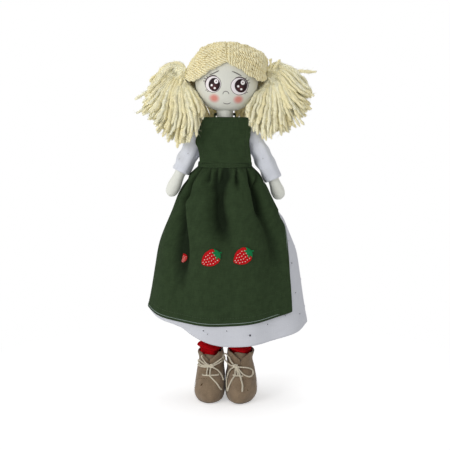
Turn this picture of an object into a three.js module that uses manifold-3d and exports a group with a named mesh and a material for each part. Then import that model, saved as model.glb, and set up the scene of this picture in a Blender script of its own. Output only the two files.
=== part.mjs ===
// A stuffed cloth doll, standing on its boots, in millimetres.
// +Z is up, the doll faces -Y, and left and right are the doll's own, so its left is at +X.
// The origin is on the floor, midway under the doll.
import * as THREE from 'three';
import { mergeVertices } from 'three/addons/utils/BufferGeometryUtils.js';
import Module from 'manifold-3d';

const wasm = await Module();
wasm.setup();

// Driving dimensions: the doll's height, and how far below its top each level lies
const dollHeight = 450;
const tieBelowTop = 41;
const shoulderBelowTop = 114;
const waistBelowTop = 154;
const hipBelowTop = 210;

// Running and lying clearances
const clearance = 0.3;
const layClearance = 0.5;
const cutOverrun = 40;

// Head: a stuffed ball, a little square at the cheeks
const headHalfWidth = 39;
const headHalfDepth = 35;
const headHalfHeight = 39;
const headSquareness = 2.3;
const headShift = 2;

// Hair: chunky yarn, sewn to the head in two halves with a parting between
const hairOnTop = 7;
const hairAtSide = 12;
const hairAtFront = 5;
const hairAtBack = 9;
const hairBelowChin = 1;
const napeAboveChin = 9;
const earLine = 6;
const partingWidth = 1.2;
const partingDepth = 1.6;
const hairlineRise = 22;
const tieCoreRadius = 4.9;
const tieYarnRadius = 1.9;
const leftPigtailReach = 54.8;
const rightPigtailReach = 61.8;
const leftPigtailDrop = 79;
const rightPigtailDrop = 83;
const pigtailRise = 21;
const pigtailHalfDepth = 19;
const pigtailForward = 27;

// Torso and neck
const neckRadius = 10.5;
const neckIntoHead = 9;
const neckBaseAboveShoulder = 19;
const shoulderHalfWidth = 24;
const chestHalfWidth = 29.5;
const chestHalfDepth = 17;
const waistHalfWidth = 30.5;
const waistHalfDepth = 21;
const hipHalfWidth = 37;
const hipHalfDepth = 23;
const torsoSquareness = 2.6;
const shoulderFlatBelow = 20;
const shoulderFlatAbove = 11;

// Arms, with mitten hands
const armRadius = 9.2;
const wristRadius = 6.6;
const handHalfWidth = 8.4;
const handThickness = 0.78;
const shoulderBendShare = 0.7;
const leftCuffOut = 36;
const leftCuffDrop = 54.5;
const leftHandOut = 46;
const leftHandDrop = 81;
const rightCuffOut = 31;
const rightCuffDrop = 45;
const rightHandOut = 46;
const rightHandDrop = 77;

// Legs, and the feet inside the boots
const legSpacing = 40;
const thighRadius = 16.5;
const kneeRadius = 14.5;
const ankleRadius = 11;
const sockThickness = 1;
const sockAboveBoot = 45;

// Boots: a flat sole, a soft felt upper in two parts, a tongue and a lace
const bootHeight = 61;
const bootFront = 43.5;
const bootBack = 22.5;
const bootHalfWidth = 18.7;
const bootSquareness = 2.3;
const soleThickness = 2.6;
const soleInset = 0.8;
const feltThickness = 2.4;
const tongueThickness = 1.5;
const tongueAboveBoot = 2;
const facingOpening = 9;
const facingSlit = 1.6;
const eyeletRadius = 1.15;
const eyeletSpacing = 13;
const lowEyeletHeight = 37;
const highEyeletHeight = 46;
const laceRadius = 0.75;
const knotRadius = 2.2;
const laceLoopReach = 11;
const laceEndReach = 22;

// Dress and pinafore: thin cloth in layers over the stuffed body
const dressThickness = 1;
const pinaforeThickness = 1.1;
const bodiceAboveShoulder = 16;
const sleeveCuffRadius = 11.4;
const waistbandHeight = 6;
const waistbandThickness = 1.5;
const bibHeight = 55;
const bibTopHalfWidth = 28;
const bibWaistHalfWidth = 32;
const bibNarrowHalfWidth = 28;
const bibHalfWidthOfCurve = 40;
const strapWidth = 2.4;
const strapThickness = 0.9;
const strapRise = 5;
const skirtHemHeight = 99;
const skirtHemDip = 18;
const skirtHemHalfWidth = 98;
const skirtHemHalfDepth = 49;
const skirtHemLift = 15;
const skirtSwing = 4.6;
const skirtFoldDepth = 5;
const skirtFolds = 9;
const apronHemHeight = 122.5;
const apronHemDip = 17;
const apronHemTilt = 3.5;
const apronLayerGap = 1.4;
const apronFoldDepth = 2.4;
const apronFolds = 13;

// Facets
const headCount = 24;
const capCount = 28;
const limbCount = 12;
const torsoCount = 20;
const bootCount = 18;
const footCount = 12;
const skirtCount = 48;
const apronCount = 40;
const pigtailCount = 16;
const cordSides = 4;

// Places that follow from the driving dimensions
const shoulderHeight = dollHeight - shoulderBelowTop;
const waistHeight = dollHeight - waistBelowTop;
const hipHeight = dollHeight - hipBelowTop;
const headHeight = dollHeight - hairOnTop - headHalfHeight;
const chinHeight = headHeight - headHalfHeight;
const neckTopHeight = chinHeight + neckIntoHead;
const neckBaseHeight = shoulderHeight + neckBaseAboveShoulder;
const tieHeight = dollHeight - tieBelowTop;
const legOffset = legSpacing / 2;
const up = new THREE.Vector3(0, 0, 1);

// Materials
const finish = (color, roughness) => new THREE.MeshStandardMaterial({ color, roughness, metalness: 0 });
const skinCloth = finish('#e3e2da', 0.85);
const yarn = finish('#d9cc9c', 0.9);
const yarnDark = finish('#b89b5e', 0.9);
const dressCloth = finish('#e9eaef', 0.8);
const pinaforeCloth = finish('#33422d', 0.85);
const sockCloth = finish('#a8121a', 0.9);
const felt = finish('#82705a', 0.95);
const soleFelt = finish('#6d5c48', 0.95);
const laceCord = finish('#c9bea6', 0.85);

const doll = new THREE.Group();

// Adds one named piece to the doll
function addPiece(name, geometry, material) {
  const mesh = new THREE.Mesh(geometry, material);
  mesh.name = name;
  doll.add(mesh);
  return mesh;
}

// A smooth function through hand-chosen keys [place, value], with no overshoot
function through(keys) {
  const slopes = keys.map((key, i) => {
    if (i === 0 || i === keys.length - 1) return 0;
    const before = (key[1] - keys[i - 1][1]) / (key[0] - keys[i - 1][0]);
    const after = (keys[i + 1][1] - key[1]) / (keys[i + 1][0] - key[0]);
    return before * after <= 0 ? 0 : (2 * before * after) / (before + after);
  });
  slopes[0] = (keys[1][1] - keys[0][1]) / (keys[1][0] - keys[0][0]);
  const last = keys.length - 1;
  slopes[last] = (keys[last][1] - keys[last - 1][1]) / (keys[last][0] - keys[last - 1][0]);
  return (place) => {
    const held = THREE.MathUtils.clamp(place, keys[0][0], keys[last][0]);
    let i = 0;
    while (i < last - 1 && held > keys[i + 1][0]) i += 1;
    const step = keys[i + 1][0] - keys[i][0];
    const t = (held - keys[i][0]) / step;
    const rise = keys[i + 1][1] - keys[i][1];
    const bend = slopes[i] * step * t * (1 - t) ** 2 - slopes[i + 1] * step * t ** 2 * (1 - t);
    return keys[i][1] + rise * t ** 2 * (3 - 2 * t) + bend;
  };
}

// Signed power, for superellipses
const signedPower = (value, power) => Math.sign(value) * Math.abs(value) ** power;

// A level superellipse ring that starts at the front and turns towards +X
function levelRing({ halfWidth, halfDepth, x = 0, y = 0, z, squareness = 2, count, widest = Infinity }) {
  const ring = [];
  for (let i = 0; i < count; i += 1) {
    const angle = (i / count) * Math.PI * 2;
    const across = halfWidth * signedPower(Math.sin(angle), 2 / squareness);
    const along = halfDepth * signedPower(Math.cos(angle), 2 / squareness);
    ring.push(new THREE.Vector3(x + THREE.MathUtils.clamp(across, -widest, widest), y - along, z));
  }
  return ring;
}

// Turns a list of triangles round where they make a negative volume
function facedOut(points, triangles) {
  let volume = 0;
  const cross = new THREE.Vector3();
  triangles.forEach(([a, b, c]) => {
    volume += points[a].dot(cross.crossVectors(points[b], points[c]));
  });
  const geometry = new THREE.BufferGeometry().setFromPoints(points);
  geometry.setIndex((volume < 0 ? triangles.map(([a, b, c]) => [a, c, b]) : triangles).flat());
  return geometry;
}

// Skins rings of equal count: closed with fans at both ends, or, for a shell, joined last to first
function loft(rings, joined = false) {
  const count = rings[0].length;
  const points = rings.flat();
  const triangles = [];
  const pairs = joined ? rings.length : rings.length - 1;
  for (let r = 0; r < pairs; r += 1) {
    const next = (r + 1) % rings.length;
    for (let i = 0; i < count; i += 1) {
      const j = (i + 1) % count;
      triangles.push([r * count + i, r * count + j, next * count + j]);
      triangles.push([r * count + i, next * count + j, next * count + i]);
    }
  }
  if (!joined) {
    [0, rings.length - 1].forEach((r) => {
      const middle = new THREE.Vector3();
      rings[r].forEach((point) => middle.add(point));
      points.push(middle.divideScalar(count));
      for (let i = 0; i < count; i += 1) {
        const j = (i + 1) % count;
        const edge = [r * count + i, r * count + j];
        triangles.push(r === 0 ? [edge[1], edge[0], points.length - 1] : [...edge, points.length - 1]);
      }
    });
  }
  return facedOut(points, triangles);
}

// A thin panel of cloth: place(u, v, side) gives the inner (side 0) and outer (side 1) surface
function clothPanel(across, down, place) {
  const points = [];
  const triangles = [];
  const at = (side, i, j) => side * (across + 1) * (down + 1) + j * (across + 1) + i;
  [0, 1].forEach((side) => {
    for (let j = 0; j <= down; j += 1) {
      for (let i = 0; i <= across; i += 1) points.push(place(i / across, j / down, side));
    }
  });
  const quad = (a, b, c, d) => triangles.push([a, b, c], [a, c, d]);
  for (let j = 0; j < down; j += 1) {
    for (let i = 0; i < across; i += 1) {
      quad(at(1, i, j), at(1, i + 1, j), at(1, i + 1, j + 1), at(1, i, j + 1));
      quad(at(0, i, j + 1), at(0, i + 1, j + 1), at(0, i + 1, j), at(0, i, j));
    }
    quad(at(0, 0, j), at(1, 0, j), at(1, 0, j + 1), at(0, 0, j + 1));
    quad(at(1, across, j), at(0, across, j), at(0, across, j + 1), at(1, across, j + 1));
  }
  for (let i = 0; i < across; i += 1) {
    quad(at(0, i, 0), at(0, i + 1, 0), at(1, i + 1, 0), at(1, i, 0));
    quad(at(1, i, down), at(1, i + 1, down), at(0, i + 1, down), at(0, i, down));
  }
  return facedOut(points, triangles);
}

// Between a geometry and a solid that can be joined and cut
function solid(geometry) {
  const bare = geometry.clone();
  bare.deleteAttribute('normal');
  bare.deleteAttribute('uv');
  const merged = mergeVertices(bare);
  return new wasm.Manifold(new wasm.Mesh({
    numProp: 3,
    vertProperties: new Float32Array(merged.attributes.position.array),
    triVerts: new Uint32Array(merged.index.array),
  }));
}
function geometryOf(body) {
  const mesh = body.getMesh();
  const geometry = new THREE.BufferGeometry();
  geometry.setAttribute('position', new THREE.BufferAttribute(mesh.vertProperties, 3));
  geometry.setIndex(new THREE.BufferAttribute(mesh.triVerts, 1));
  return geometry;
}

// An outline drawn in one plane and extruded square to it, between two places
function extruded(outline, across, upwards, from, to) {
  const shape = new THREE.Shape(outline.map(([a, b]) => new THREE.Vector2(a, b)));
  const geometry = new THREE.ExtrudeGeometry(shape, { depth: to - from, bevelEnabled: false });
  const along = new THREE.Vector3().crossVectors(across, upwards);
  geometry.applyMatrix4(new THREE.Matrix4().makeBasis(across, upwards, along));
  geometry.translate(along.x * from, along.y * from, along.z * from);
  return solid(geometry);
}
const right = new THREE.Vector3(1, 0, 0);
const backwards = new THREE.Vector3(0, 1, 0);

// A block between two corners, for cuts
function block(low, high) {
  const size = new THREE.Vector3().subVectors(high, low);
  const geometry = new THREE.BoxGeometry(size.x, size.y, size.z);
  geometry.translate((low.x + high.x) / 2, (low.y + high.y) / 2, (low.z + high.z) / 2);
  return solid(geometry);
}

// A cylinder along X, for the hip and armhole cuts
function barAlongX(radius, fromX, toX, z) {
  const geometry = new THREE.CylinderGeometry(radius, radius, toX - fromX, headCount);
  geometry.rotateZ(Math.PI / 2);
  geometry.translate((fromX + toX) / 2, 0, z);
  return solid(geometry);
}

// A round cord along a smooth route
function cordAlong(points, radius, steps, sides = cordSides) {
  const section = new THREE.Shape();
  for (let i = 0; i < sides; i += 1) {
    const angle = (i / sides) * Math.PI * 2;
    section[i === 0 ? 'moveTo' : 'lineTo'](radius * Math.cos(angle), radius * Math.sin(angle));
  }
  const route = new THREE.CatmullRomCurve3(points);
  return new THREE.ExtrudeGeometry(section, { steps, bevelEnabled: false, extrudePath: route });
}

// Torso: the stuffed body with its neck, cut away below for the tops of the legs
const torsoHalfWidth = through([
  [hipHeight, hipHalfWidth],
  [waistHeight, waistHalfWidth],
  [shoulderHeight - shoulderFlatBelow, chestHalfWidth],
  [shoulderHeight + shoulderFlatAbove, chestHalfWidth],
  [neckBaseHeight, neckRadius],
  [neckTopHeight, neckRadius],
]);
const torsoHalfDepth = through([
  [hipHeight, hipHalfDepth],
  [waistHeight, waistHalfDepth],
  [shoulderHeight - shoulderFlatBelow, chestHalfDepth],
  [shoulderHeight + shoulderFlatAbove, chestHalfDepth],
  [neckBaseHeight, neckRadius],
  [neckTopHeight, neckRadius],
]);
const torsoEdge = through([
  [shoulderHeight, torsoSquareness],
  [neckBaseHeight, 2],
]);
function torsoRing(z, outset, count = torsoCount) {
  return levelRing({
    halfWidth: torsoHalfWidth(z) + outset,
    halfDepth: torsoHalfDepth(z) + outset,
    squareness: torsoEdge(z),
    widest: z < shoulderHeight - shoulderFlatBelow ? Infinity : shoulderHalfWidth + outset,
    z,
    count,
  });
}
const hipClearRadius = thighRadius + layClearance;
const chestLevelShares = [0, 0.18, 0.38, 0.6, 0.8, 1];
const between = (low, high, share) => low + (high - low) * share;
const slopeStart = shoulderHeight + shoulderFlatAbove;
const bodiceTop = shoulderHeight + bodiceAboveShoulder;
const torsoLevels = [
  ...chestLevelShares.map((share) => between(hipHeight, shoulderHeight - shoulderFlatBelow, share)),
  shoulderHeight,
  slopeStart,
  between(slopeStart, bodiceTop, 0.5),
  bodiceTop,
  neckBaseHeight,
  neckTopHeight - neckRadius / 2,
];
function makeTorso() {
  const neckDome = [0.4, 0.75, 0.97].map((share) => levelRing({
    halfWidth: neckRadius * Math.sqrt(1 - share ** 2),
    halfDepth: neckRadius * Math.sqrt(1 - share ** 2),
    z: neckTopHeight - (neckRadius / 2) * (1 - share),
    count: torsoCount,
  }));
  let torso = solid(loft([...torsoLevels.map((z) => torsoRing(z, 0)), ...neckDome]));
  [-1, 1].forEach((side) => {
    const inner = legOffset - hipClearRadius;
    const from = side > 0 ? inner : -hipHalfWidth - cutOverrun;
    const to = side > 0 ? hipHalfWidth + cutOverrun : -inner;
    torso = torso.subtract(barAlongX(hipClearRadius, from, to, hipHeight));
    torso = torso.subtract(block(
      new THREE.Vector3(from, -hipHalfDepth - cutOverrun, hipHeight - cutOverrun),
      new THREE.Vector3(to, 0, hipHeight + hipClearRadius),
    ));
  });
  return torso;
}
const torso = makeTorso();
addPiece('torso', geometryOf(torso), skinCloth);

// Head: a stuffed ball with a socket underneath for the neck
const poleShare = 0.04;
function ballRings({ halfWidth, halfDepth, above, below, x = 0, y = 0, z, squareness, levels, count }) {
  const rings = [];
  for (let i = 0; i <= levels; i += 1) {
    const angle = (i / levels - 0.5) * Math.PI;
    const lift = signedPower(Math.sin(angle), 2 / squareness);
    const spread = Math.max(Math.cos(angle), poleShare) ** (2 / squareness);
    rings.push(levelRing({
      halfWidth: halfWidth * spread,
      halfDepth: halfDepth * spread,
      x,
      y,
      z: z + lift * (lift > 0 ? above : below),
      squareness: 2,
      count,
    }));
  }
  return rings;
}
function headBall(outset, count = headCount) {
  return solid(loft(ballRings({
    halfWidth: headHalfWidth + outset,
    halfDepth: headHalfDepth + outset,
    above: headHalfHeight + outset,
    below: headHalfHeight + outset,
    x: headShift,
    z: headHeight,
    squareness: headSquareness,
    levels: 12,
    count,
  })));
}
function neckSocket() {
  const outset = neckRadius + clearance;
  const levels = [[chinHeight - neckRadius, 1], [neckTopHeight - neckRadius / 2, 1]];
  const rings = levels.map(([z, share]) => levelRing({
    halfWidth: outset * share,
    halfDepth: outset * share,
    z,
    count: torsoCount,
  }));
  [0.4, 0.75, 0.97].forEach((share) => rings.push(levelRing({
    halfWidth: outset * Math.sqrt(1 - share ** 2),
    halfDepth: outset * Math.sqrt(1 - share ** 2),
    z: neckTopHeight + clearance - (neckRadius / 2) * (1 - share),
    count: torsoCount,
  })));
  return solid(loft(rings));
}
addPiece('head', geometryOf(headBall(0).subtract(neckSocket())), skinCloth);

// Hair cap: yarn rows sewn over the head, cut back to the hairline, the ears and the nape
const capHalfWidth = headHalfWidth + hairAtSide;
const capHalfDepth = headHalfDepth + (hairAtFront + hairAtBack) / 2;
const capMiddle = (hairAtBack - hairAtFront) / 2;
const hairlineShares = [
  [0, 1], [0.2, 0.68], [0.41, 0.48], [0.63, 0.2], [0.82, 0], [0.95, -0.16], [1.2, -0.35],
];
function capBall(outset) {
  return solid(loft(ballRings({
    halfWidth: capHalfWidth + outset,
    halfDepth: capHalfDepth + outset,
    above: dollHeight - headHeight + outset,
    below: headHalfHeight + hairBelowChin + outset,
    x: headShift,
    y: capMiddle,
    z: headHeight,
    squareness: 2.2,
    levels: 12,
    count: capCount,
  })));
}
function faceCut() {
  const line = hairlineShares.map(([x, z]) => [x * headHalfWidth, headHeight + z * hairlineRise]);
  const farX = headHalfWidth + cutOverrun;
  const outline = [
    ...line.map(([x, z]) => [headShift + x, z]),
    [headShift + farX, line[line.length - 1][1]],
    [headShift + farX, chinHeight - cutOverrun],
    [headShift - farX, chinHeight - cutOverrun],
    [headShift - farX, line[line.length - 1][1]],
    ...line.slice(1).reverse().map(([x, z]) => [headShift - x, z]),
  ];
  return extruded(outline, right, up, earLine, headHalfDepth + cutOverrun);
}
function makeHair() {
  const far = capHalfWidth + cutOverrun;
  const nape = block(
    new THREE.Vector3(-far, -far, chinHeight - far),
    new THREE.Vector3(far, far, chinHeight + napeAboveChin),
  );
  const trimmed = (outset) => (
    capBall(outset).subtract(headBall(clearance)).subtract(faceCut()).subtract(nape)
  );
  const cap = trimmed(0);
  const half = partingWidth / 2;
  [['right', -1], ['left', 1]].forEach(([name, side]) => {
    const keep = block(
      new THREE.Vector3(side > 0 ? headShift + half : -far, -far, 0),
      new THREE.Vector3(side > 0 ? far : headShift - half, far, dollHeight + far),
    );
    addPiece(`hair_cap_${name}`, geometryOf(cap.intersect(keep)), yarn);
  });
  const seam = block(
    new THREE.Vector3(headShift - half + clearance, -far, 0),
    new THREE.Vector3(headShift + half - clearance, far, dollHeight + far),
  );
  addPiece('parting_seam', geometryOf(trimmed(-partingDepth).intersect(seam)), yarnDark);
}
makeHair();

// Pigtails: loose bunches of yarn, each bound at the side of the cap and falling in front of the sleeve
// A level is [height, inner side, outer side, place forward, half depth]
const leftPigtailShares = [
  [1, 0.12, 0.26, 0, 0.3], [0.8, 0.02, 0.46, 0, 0.55], [0.35, 0, 0.8, 0, 0.8], [-0.05, 0, 0.95, 0.05, 0.95],
  [-0.2, -0.03, 1, 0.15, 1], [-0.37, -0.16, 1, 0.33, 0.98], [-0.59, -0.3, 0.86, 0.66, 0.87],
  [-0.72, -0.37, 0.76, 0.88, 0.74], [-0.84, -0.36, 0.56, 1, 0.62], [-0.94, -0.28, 0.32, 1.05, 0.45],
  [-1, -0.18, 0.05, 1.05, 0.2],
];
const rightPigtailShares = [
  [0.9, 0.1, 0.26, 0, 0.3], [0.65, 0.02, 0.44, 0, 0.6], [0.25, 0, 0.6, 0, 0.82], [-0.08, 0, 0.76, 0.05, 0.95],
  [-0.22, -0.03, 0.9, 0.15, 1], [-0.38, -0.13, 1, 0.33, 0.98], [-0.58, -0.26, 0.98, 0.66, 0.87],
  [-0.7, -0.33, 0.8, 0.88, 0.74], [-0.84, -0.32, 0.62, 1, 0.62], [-0.94, -0.24, 0.44, 1.05, 0.45],
  [-1, -0.14, 0.14, 1.05, 0.2],
];
const tieOut = capHalfWidth + clearance + tieYarnRadius;
function makePigtail(name, side, shares, reach, drop) {
  const tieX = headShift + side * tieOut;
  const ringRadius = tieCoreRadius + layClearance + tieYarnRadius;
  const tie = new THREE.TorusGeometry(ringRadius, tieYarnRadius, 6, headCount);
  tie.rotateY(Math.PI / 2);
  tie.translate(tieX, 0, tieHeight);
  addPiece(`hair_tie_${name}`, tie, yarnDark);
  const rings = shares.map(([lift, inner, outer, forward, thick]) => {
    const low = tieYarnRadius * 1.3 + inner * reach;
    const high = tieYarnRadius * 1.3 + outer * (reach - tieYarnRadius * 1.3);
    return levelRing({
      halfWidth: (high - low) / 2,
      halfDepth: thick * pigtailHalfDepth,
      x: tieX + (side * (low + high)) / 2,
      y: -forward * pigtailForward,
      z: tieHeight + lift * (lift > 0 ? pigtailRise : drop),
      count: pigtailCount,
    });
  });
  const root = new THREE.CylinderGeometry(tieCoreRadius, tieCoreRadius, tieYarnRadius * 4, headCount);
  root.rotateZ(Math.PI / 2);
  root.translate(tieX + side * tieYarnRadius, 0, tieHeight);
  addPiece(`pigtail_${name}`, geometryOf(solid(loft(rings)).add(solid(root))), yarn);
}
makePigtail('left', 1, leftPigtailShares, leftPigtailReach, leftPigtailDrop);
makePigtail('right', -1, rightPigtailShares, rightPigtailReach, rightPigtailDrop);

// Arms and sleeves: both start square on the shoulder, where they turn, and bend down along the side
function armRoute(side, cuffOut, cuffDrop, handOut, handDrop) {
  const place = (out, fall) => new THREE.Vector3(side * (shoulderHalfWidth + out), 0, shoulderHeight - fall);
  const bend = armRadius * shoulderBendShare;
  return new THREE.CatmullRomCurve3([
    place(clearance, 0),
    place(clearance + bend, bend * 0.2),
    place(clearance + bend * 1.9, bend * 1.15),
    place(cuffOut, cuffDrop),
    place(handOut, handDrop),
  ], false, 'centripetal');
}
// The share of a route at which a test of the point there first holds
function shareWhere(route, holds) {
  const steps = 400;
  let i = 0;
  while (i < steps && !holds(route.getPointAt(i / steps))) i += 1;
  return i / steps;
}
function limbRing(route, share, squareUntil, inPlane, outOfPlane) {
  const middle = route.getPointAt(share);
  const square = new THREE.Vector3(Math.sign(middle.x), 0, 0);
  const along = share <= squareUntil ? square : route.getTangentAt(share);
  const side = new THREE.Vector3().crossVectors(backwards, along).normalize();
  const ring = [];
  for (let i = 0; i < limbCount; i += 1) {
    const angle = (i / limbCount) * Math.PI * 2;
    const point = middle.clone();
    point.addScaledVector(side, inPlane * Math.cos(angle));
    point.addScaledVector(backwards, outOfPlane * Math.sin(angle));
    ring.push(point);
  }
  return ring;
}
const sleeveStationShares = [0, 0.08, 0.16, 0.26, 0.4, 0.6, 0.8, 1];
const handStationShares = [0.15, 0.33, 0.5, 0.68, 0.84, 0.94, 1];
const handWidth = through([
  [0, wristRadius * 1.15], [0.12, wristRadius], [0.25, wristRadius * 1.03], [0.6, handHalfWidth],
  [0.84, handHalfWidth * 0.84], [0.94, handHalfWidth * 0.55], [1, handHalfWidth * 0.18],
]);
const handFlatness = through([[0, 1], [0.2, 1], [0.6, handThickness], [1, handThickness]]);
const sleeveGap = armRadius + clearance * 2;
function makeArm(name, side, cuffOut, cuffDrop, handOut, handDrop) {
  const route = armRoute(side, cuffOut, cuffDrop, handOut, handDrop);
  const outsideBodice = shoulderHalfWidth + dressThickness + clearance * 2;
  const start = shareWhere(route, (point) => Math.abs(point.x) >= outsideBodice);
  const cuff = shareWhere(route, (point) => point.z <= shoulderHeight - cuffDrop);
  const sleeveStations = sleeveStationShares.map((share) => between(start, cuff, share));
  const upper = (share) => between(armRadius, wristRadius * 1.15, ((share - start) / (cuff - start)) ** 2);
  const armRings = [limbRing(route, 0, start, armRadius, armRadius)];
  sleeveStations.forEach((share) => armRings.push(limbRing(route, share, start, upper(share), upper(share))));
  handStationShares.forEach((share) => {
    const radius = handWidth(share);
    armRings.push(limbRing(route, between(cuff, 1, share), start, radius, radius * handFlatness(share)));
  });
  addPiece(`arm_${name}`, loft(armRings), skinCloth);
  const sleeveRings = (outset) => sleeveStations.map((share) => {
    const along = (share - start) / (cuff - start);
    const radius = between(sleeveGap, sleeveCuffRadius - dressThickness, along) + outset;
    return limbRing(route, share, start, radius, radius);
  });
  const sleeve = loft([...sleeveRings(0), ...sleeveRings(dressThickness).reverse()], true);
  addPiece(`sleeve_${name}`, sleeve, dressCloth);
}
makeArm('left', 1, leftCuffOut, leftCuffDrop, leftHandOut, leftHandDrop);
makeArm('right', -1, rightCuffOut, rightCuffDrop, rightHandOut, rightHandDrop);

// Bodice of the dress: a shell over the torso, open at the neck, the waist and the armholes
const bodiceInner = clearance;
const bodiceOuter = clearance + dressThickness;
const armholeRadius = armRadius + clearance * 2;
function makeBodice() {
  const bottom = waistHeight + clearance;
  const levels = [bottom, ...torsoLevels.filter((z) => z > bottom && z <= bodiceTop)];
  const inner = levels.map((z) => torsoRing(z, bodiceInner));
  const outer = levels.map((z) => torsoRing(z, bodiceOuter));
  let bodice = solid(loft([...inner, ...outer.reverse()], true));
  const far = shoulderHalfWidth + cutOverrun;
  bodice = bodice.subtract(barAlongX(armholeRadius, -far, -shoulderHalfWidth / 2, shoulderHeight));
  bodice = bodice.subtract(barAlongX(armholeRadius, shoulderHalfWidth / 2, far, shoulderHeight));
  return geometryOf(bodice);
}
addPiece('dress_bodice', makeBodice(), dressCloth);

// Skirts: both hang from the waist and share one surface, so that the layers never cross
const skirtFlareShares = [
  [0, 0], [0.06, 0.14], [0.18, 0.325], [0.34, 0.545], [0.54, 0.765], [0.7, 0.85], [0.84, 0.915], [1, 1],
];
const skirtFlare = through(skirtFlareShares);
const skirtSwingShares = [[0, 0], [0.15, 0.25], [0.34, 1], [1, 1]];
const skirtSwingAt = through(skirtSwingShares);
// The hem dips in front, and rides up at the doll's right: [angle from the front in degrees, share]
const hemLiftShares = [
  [-180, 0], [-140, 0.6], [-100, 1], [-50, 1], [-36, 0.75], [-22, 0.3], [-8, 0], [180, 0],
];
const hemLift = through(hemLiftShares);
const hemDip = (angle) => Math.max(0, Math.cos(angle)) ** 2;
function skirtHem(angle) {
  const degrees = Math.atan2(Math.sin(angle), Math.cos(angle)) * THREE.MathUtils.RAD2DEG;
  return skirtHemHeight - skirtHemDip * hemDip(angle) + skirtHemLift * hemLift(degrees);
}
function apronHem(angle) {
  return apronHemHeight - apronHemDip * hemDip(angle) + apronHemTilt * Math.sin(angle);
}
const wave = (angle) => 0.5 - 0.5 * Math.cos(angle);
function skirtFold(angle, drop) {
  return skirtFoldDepth * drop * wave(skirtFolds * angle + 0.9 * Math.sin(2 * angle));
}
function apronFold(angle, drop) {
  const depth = apronFoldDepth * Math.sin(Math.PI * Math.min(1, drop) * 0.5);
  return depth * wave(apronFolds * angle + Math.sin(3 * angle));
}
function skirtPoint(angle, z, outset) {
  const drop = (waistHeight - z) / (waistHeight - skirtHem(angle));
  const flare = skirtFlare(drop);
  const startWidth = torsoHalfWidth(waistHeight) + bodiceInner;
  const startDepth = torsoHalfDepth(waistHeight) + bodiceInner;
  const squareness = between(torsoSquareness, 2, Math.min(1, drop * 3));
  const fold = skirtFold(angle, drop);
  const halfWidth = between(startWidth, skirtHemHalfWidth, flare) + fold + outset;
  const halfDepth = between(startDepth, skirtHemHalfDepth, flare) + fold + outset;
  return new THREE.Vector3(
    skirtSwing * skirtSwingAt(drop) + halfWidth * signedPower(Math.sin(angle), 2 / squareness),
    -halfDepth * signedPower(Math.cos(angle), 2 / squareness),
    z,
  );
}
const skirtLevelShares = [0, 0.03, 0.075, 0.14, 0.25, 0.42, 0.62, 0.82, 1];
function makeUnderskirt() {
  const rings = [0, dressThickness].map((outset) => skirtLevelShares.map((share) => {
    const ring = [];
    for (let i = 0; i < skirtCount; i += 1) {
      const angle = (i / skirtCount) * Math.PI * 2;
      ring.push(skirtPoint(angle, between(waistHeight, skirtHem(angle), share), outset));
    }
    return ring;
  }));
  return loft([...rings[0], ...rings[1].reverse()], true);
}
addPiece('underskirt', makeUnderskirt(), dressCloth);

// Apron skirt: the same surface, further out, from behind the right side to an open edge at the left front
const apronRightEdge = -100 * THREE.MathUtils.DEG2RAD;
const apronLeftEdgeShares = [[0, 1.06], [0.22, 0.98], [0.34, 0.8], [0.52, 0.68], [0.66, 0.63], [1, 0.58]];
const apronLeftEdge = through(apronLeftEdgeShares.map(
  ([drop, share]) => [drop, share * (Math.PI / 2)],
));
function makeApronSkirt() {
  return clothPanel(apronCount, skirtLevelShares.length - 1, (u, v, side) => {
    const share = skirtLevelShares[Math.round(v * (skirtLevelShares.length - 1))];
    const angle = between(apronRightEdge, apronLeftEdge(share), u);
    const z = between(waistHeight, apronHem(angle), share);
    const drop = (waistHeight - z) / (waistHeight - apronHem(angle));
    const outset = dressThickness + apronLayerGap + apronFold(angle, drop) + side * pinaforeThickness;
    return skirtPoint(angle, z, outset);
  });
}
addPiece('apron_skirt', makeApronSkirt(), pinaforeCloth);

// Waistband: a flat band of the pinafore right round the waist
const waistbandInset = bodiceOuter + clearance;
const waistbandBottom = waistHeight + clearance;
const waistbandTop = waistbandBottom + waistbandHeight;
function makeWaistband() {
  const levels = [waistbandBottom, between(waistbandBottom, waistbandTop, 0.5), waistbandTop];
  const inner = levels.map((z) => torsoRing(z, waistbandInset));
  const swell = [0, 0.25, 0];
  const outer = levels.map((z, i) => torsoRing(z, waistbandInset + waistbandThickness * (1 + swell[i])));
  return loft([...inner, ...outer.reverse()], true);
}
addPiece('waistband', makeWaistband(), pinaforeCloth);

// Bib: a shallow curved panel in front of the bodice, standing on the waistband
const bibBottom = waistbandTop + clearance;
const bibTop = bibBottom + bibHeight;
const bibHalfWidth = through([
  [0, bibWaistHalfWidth],
  [0.15, bibWaistHalfWidth],
  [0.55, bibNarrowHalfWidth],
  [1, bibTopHalfWidth],
]);
function bibPoint(x, z, outset) {
  const bodyZ = Math.min(z, shoulderHeight);
  const depth = torsoHalfDepth(bodyZ) + waistbandInset + layClearance + outset;
  const share = Math.min(1, Math.abs(x) / bibHalfWidthOfCurve);
  return new THREE.Vector3(x, -depth * (1 - share ** torsoSquareness) ** (1 / torsoSquareness), z);
}
function makeBib() {
  return clothPanel(12, 8, (u, v, side) => {
    const x = (u * 2 - 1) * bibHalfWidth(v);
    return bibPoint(x, between(bibBottom, bibTop, v), side * pinaforeThickness);
  });
}
addPiece('pinafore_bib', makeBib(), pinaforeCloth);

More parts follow.
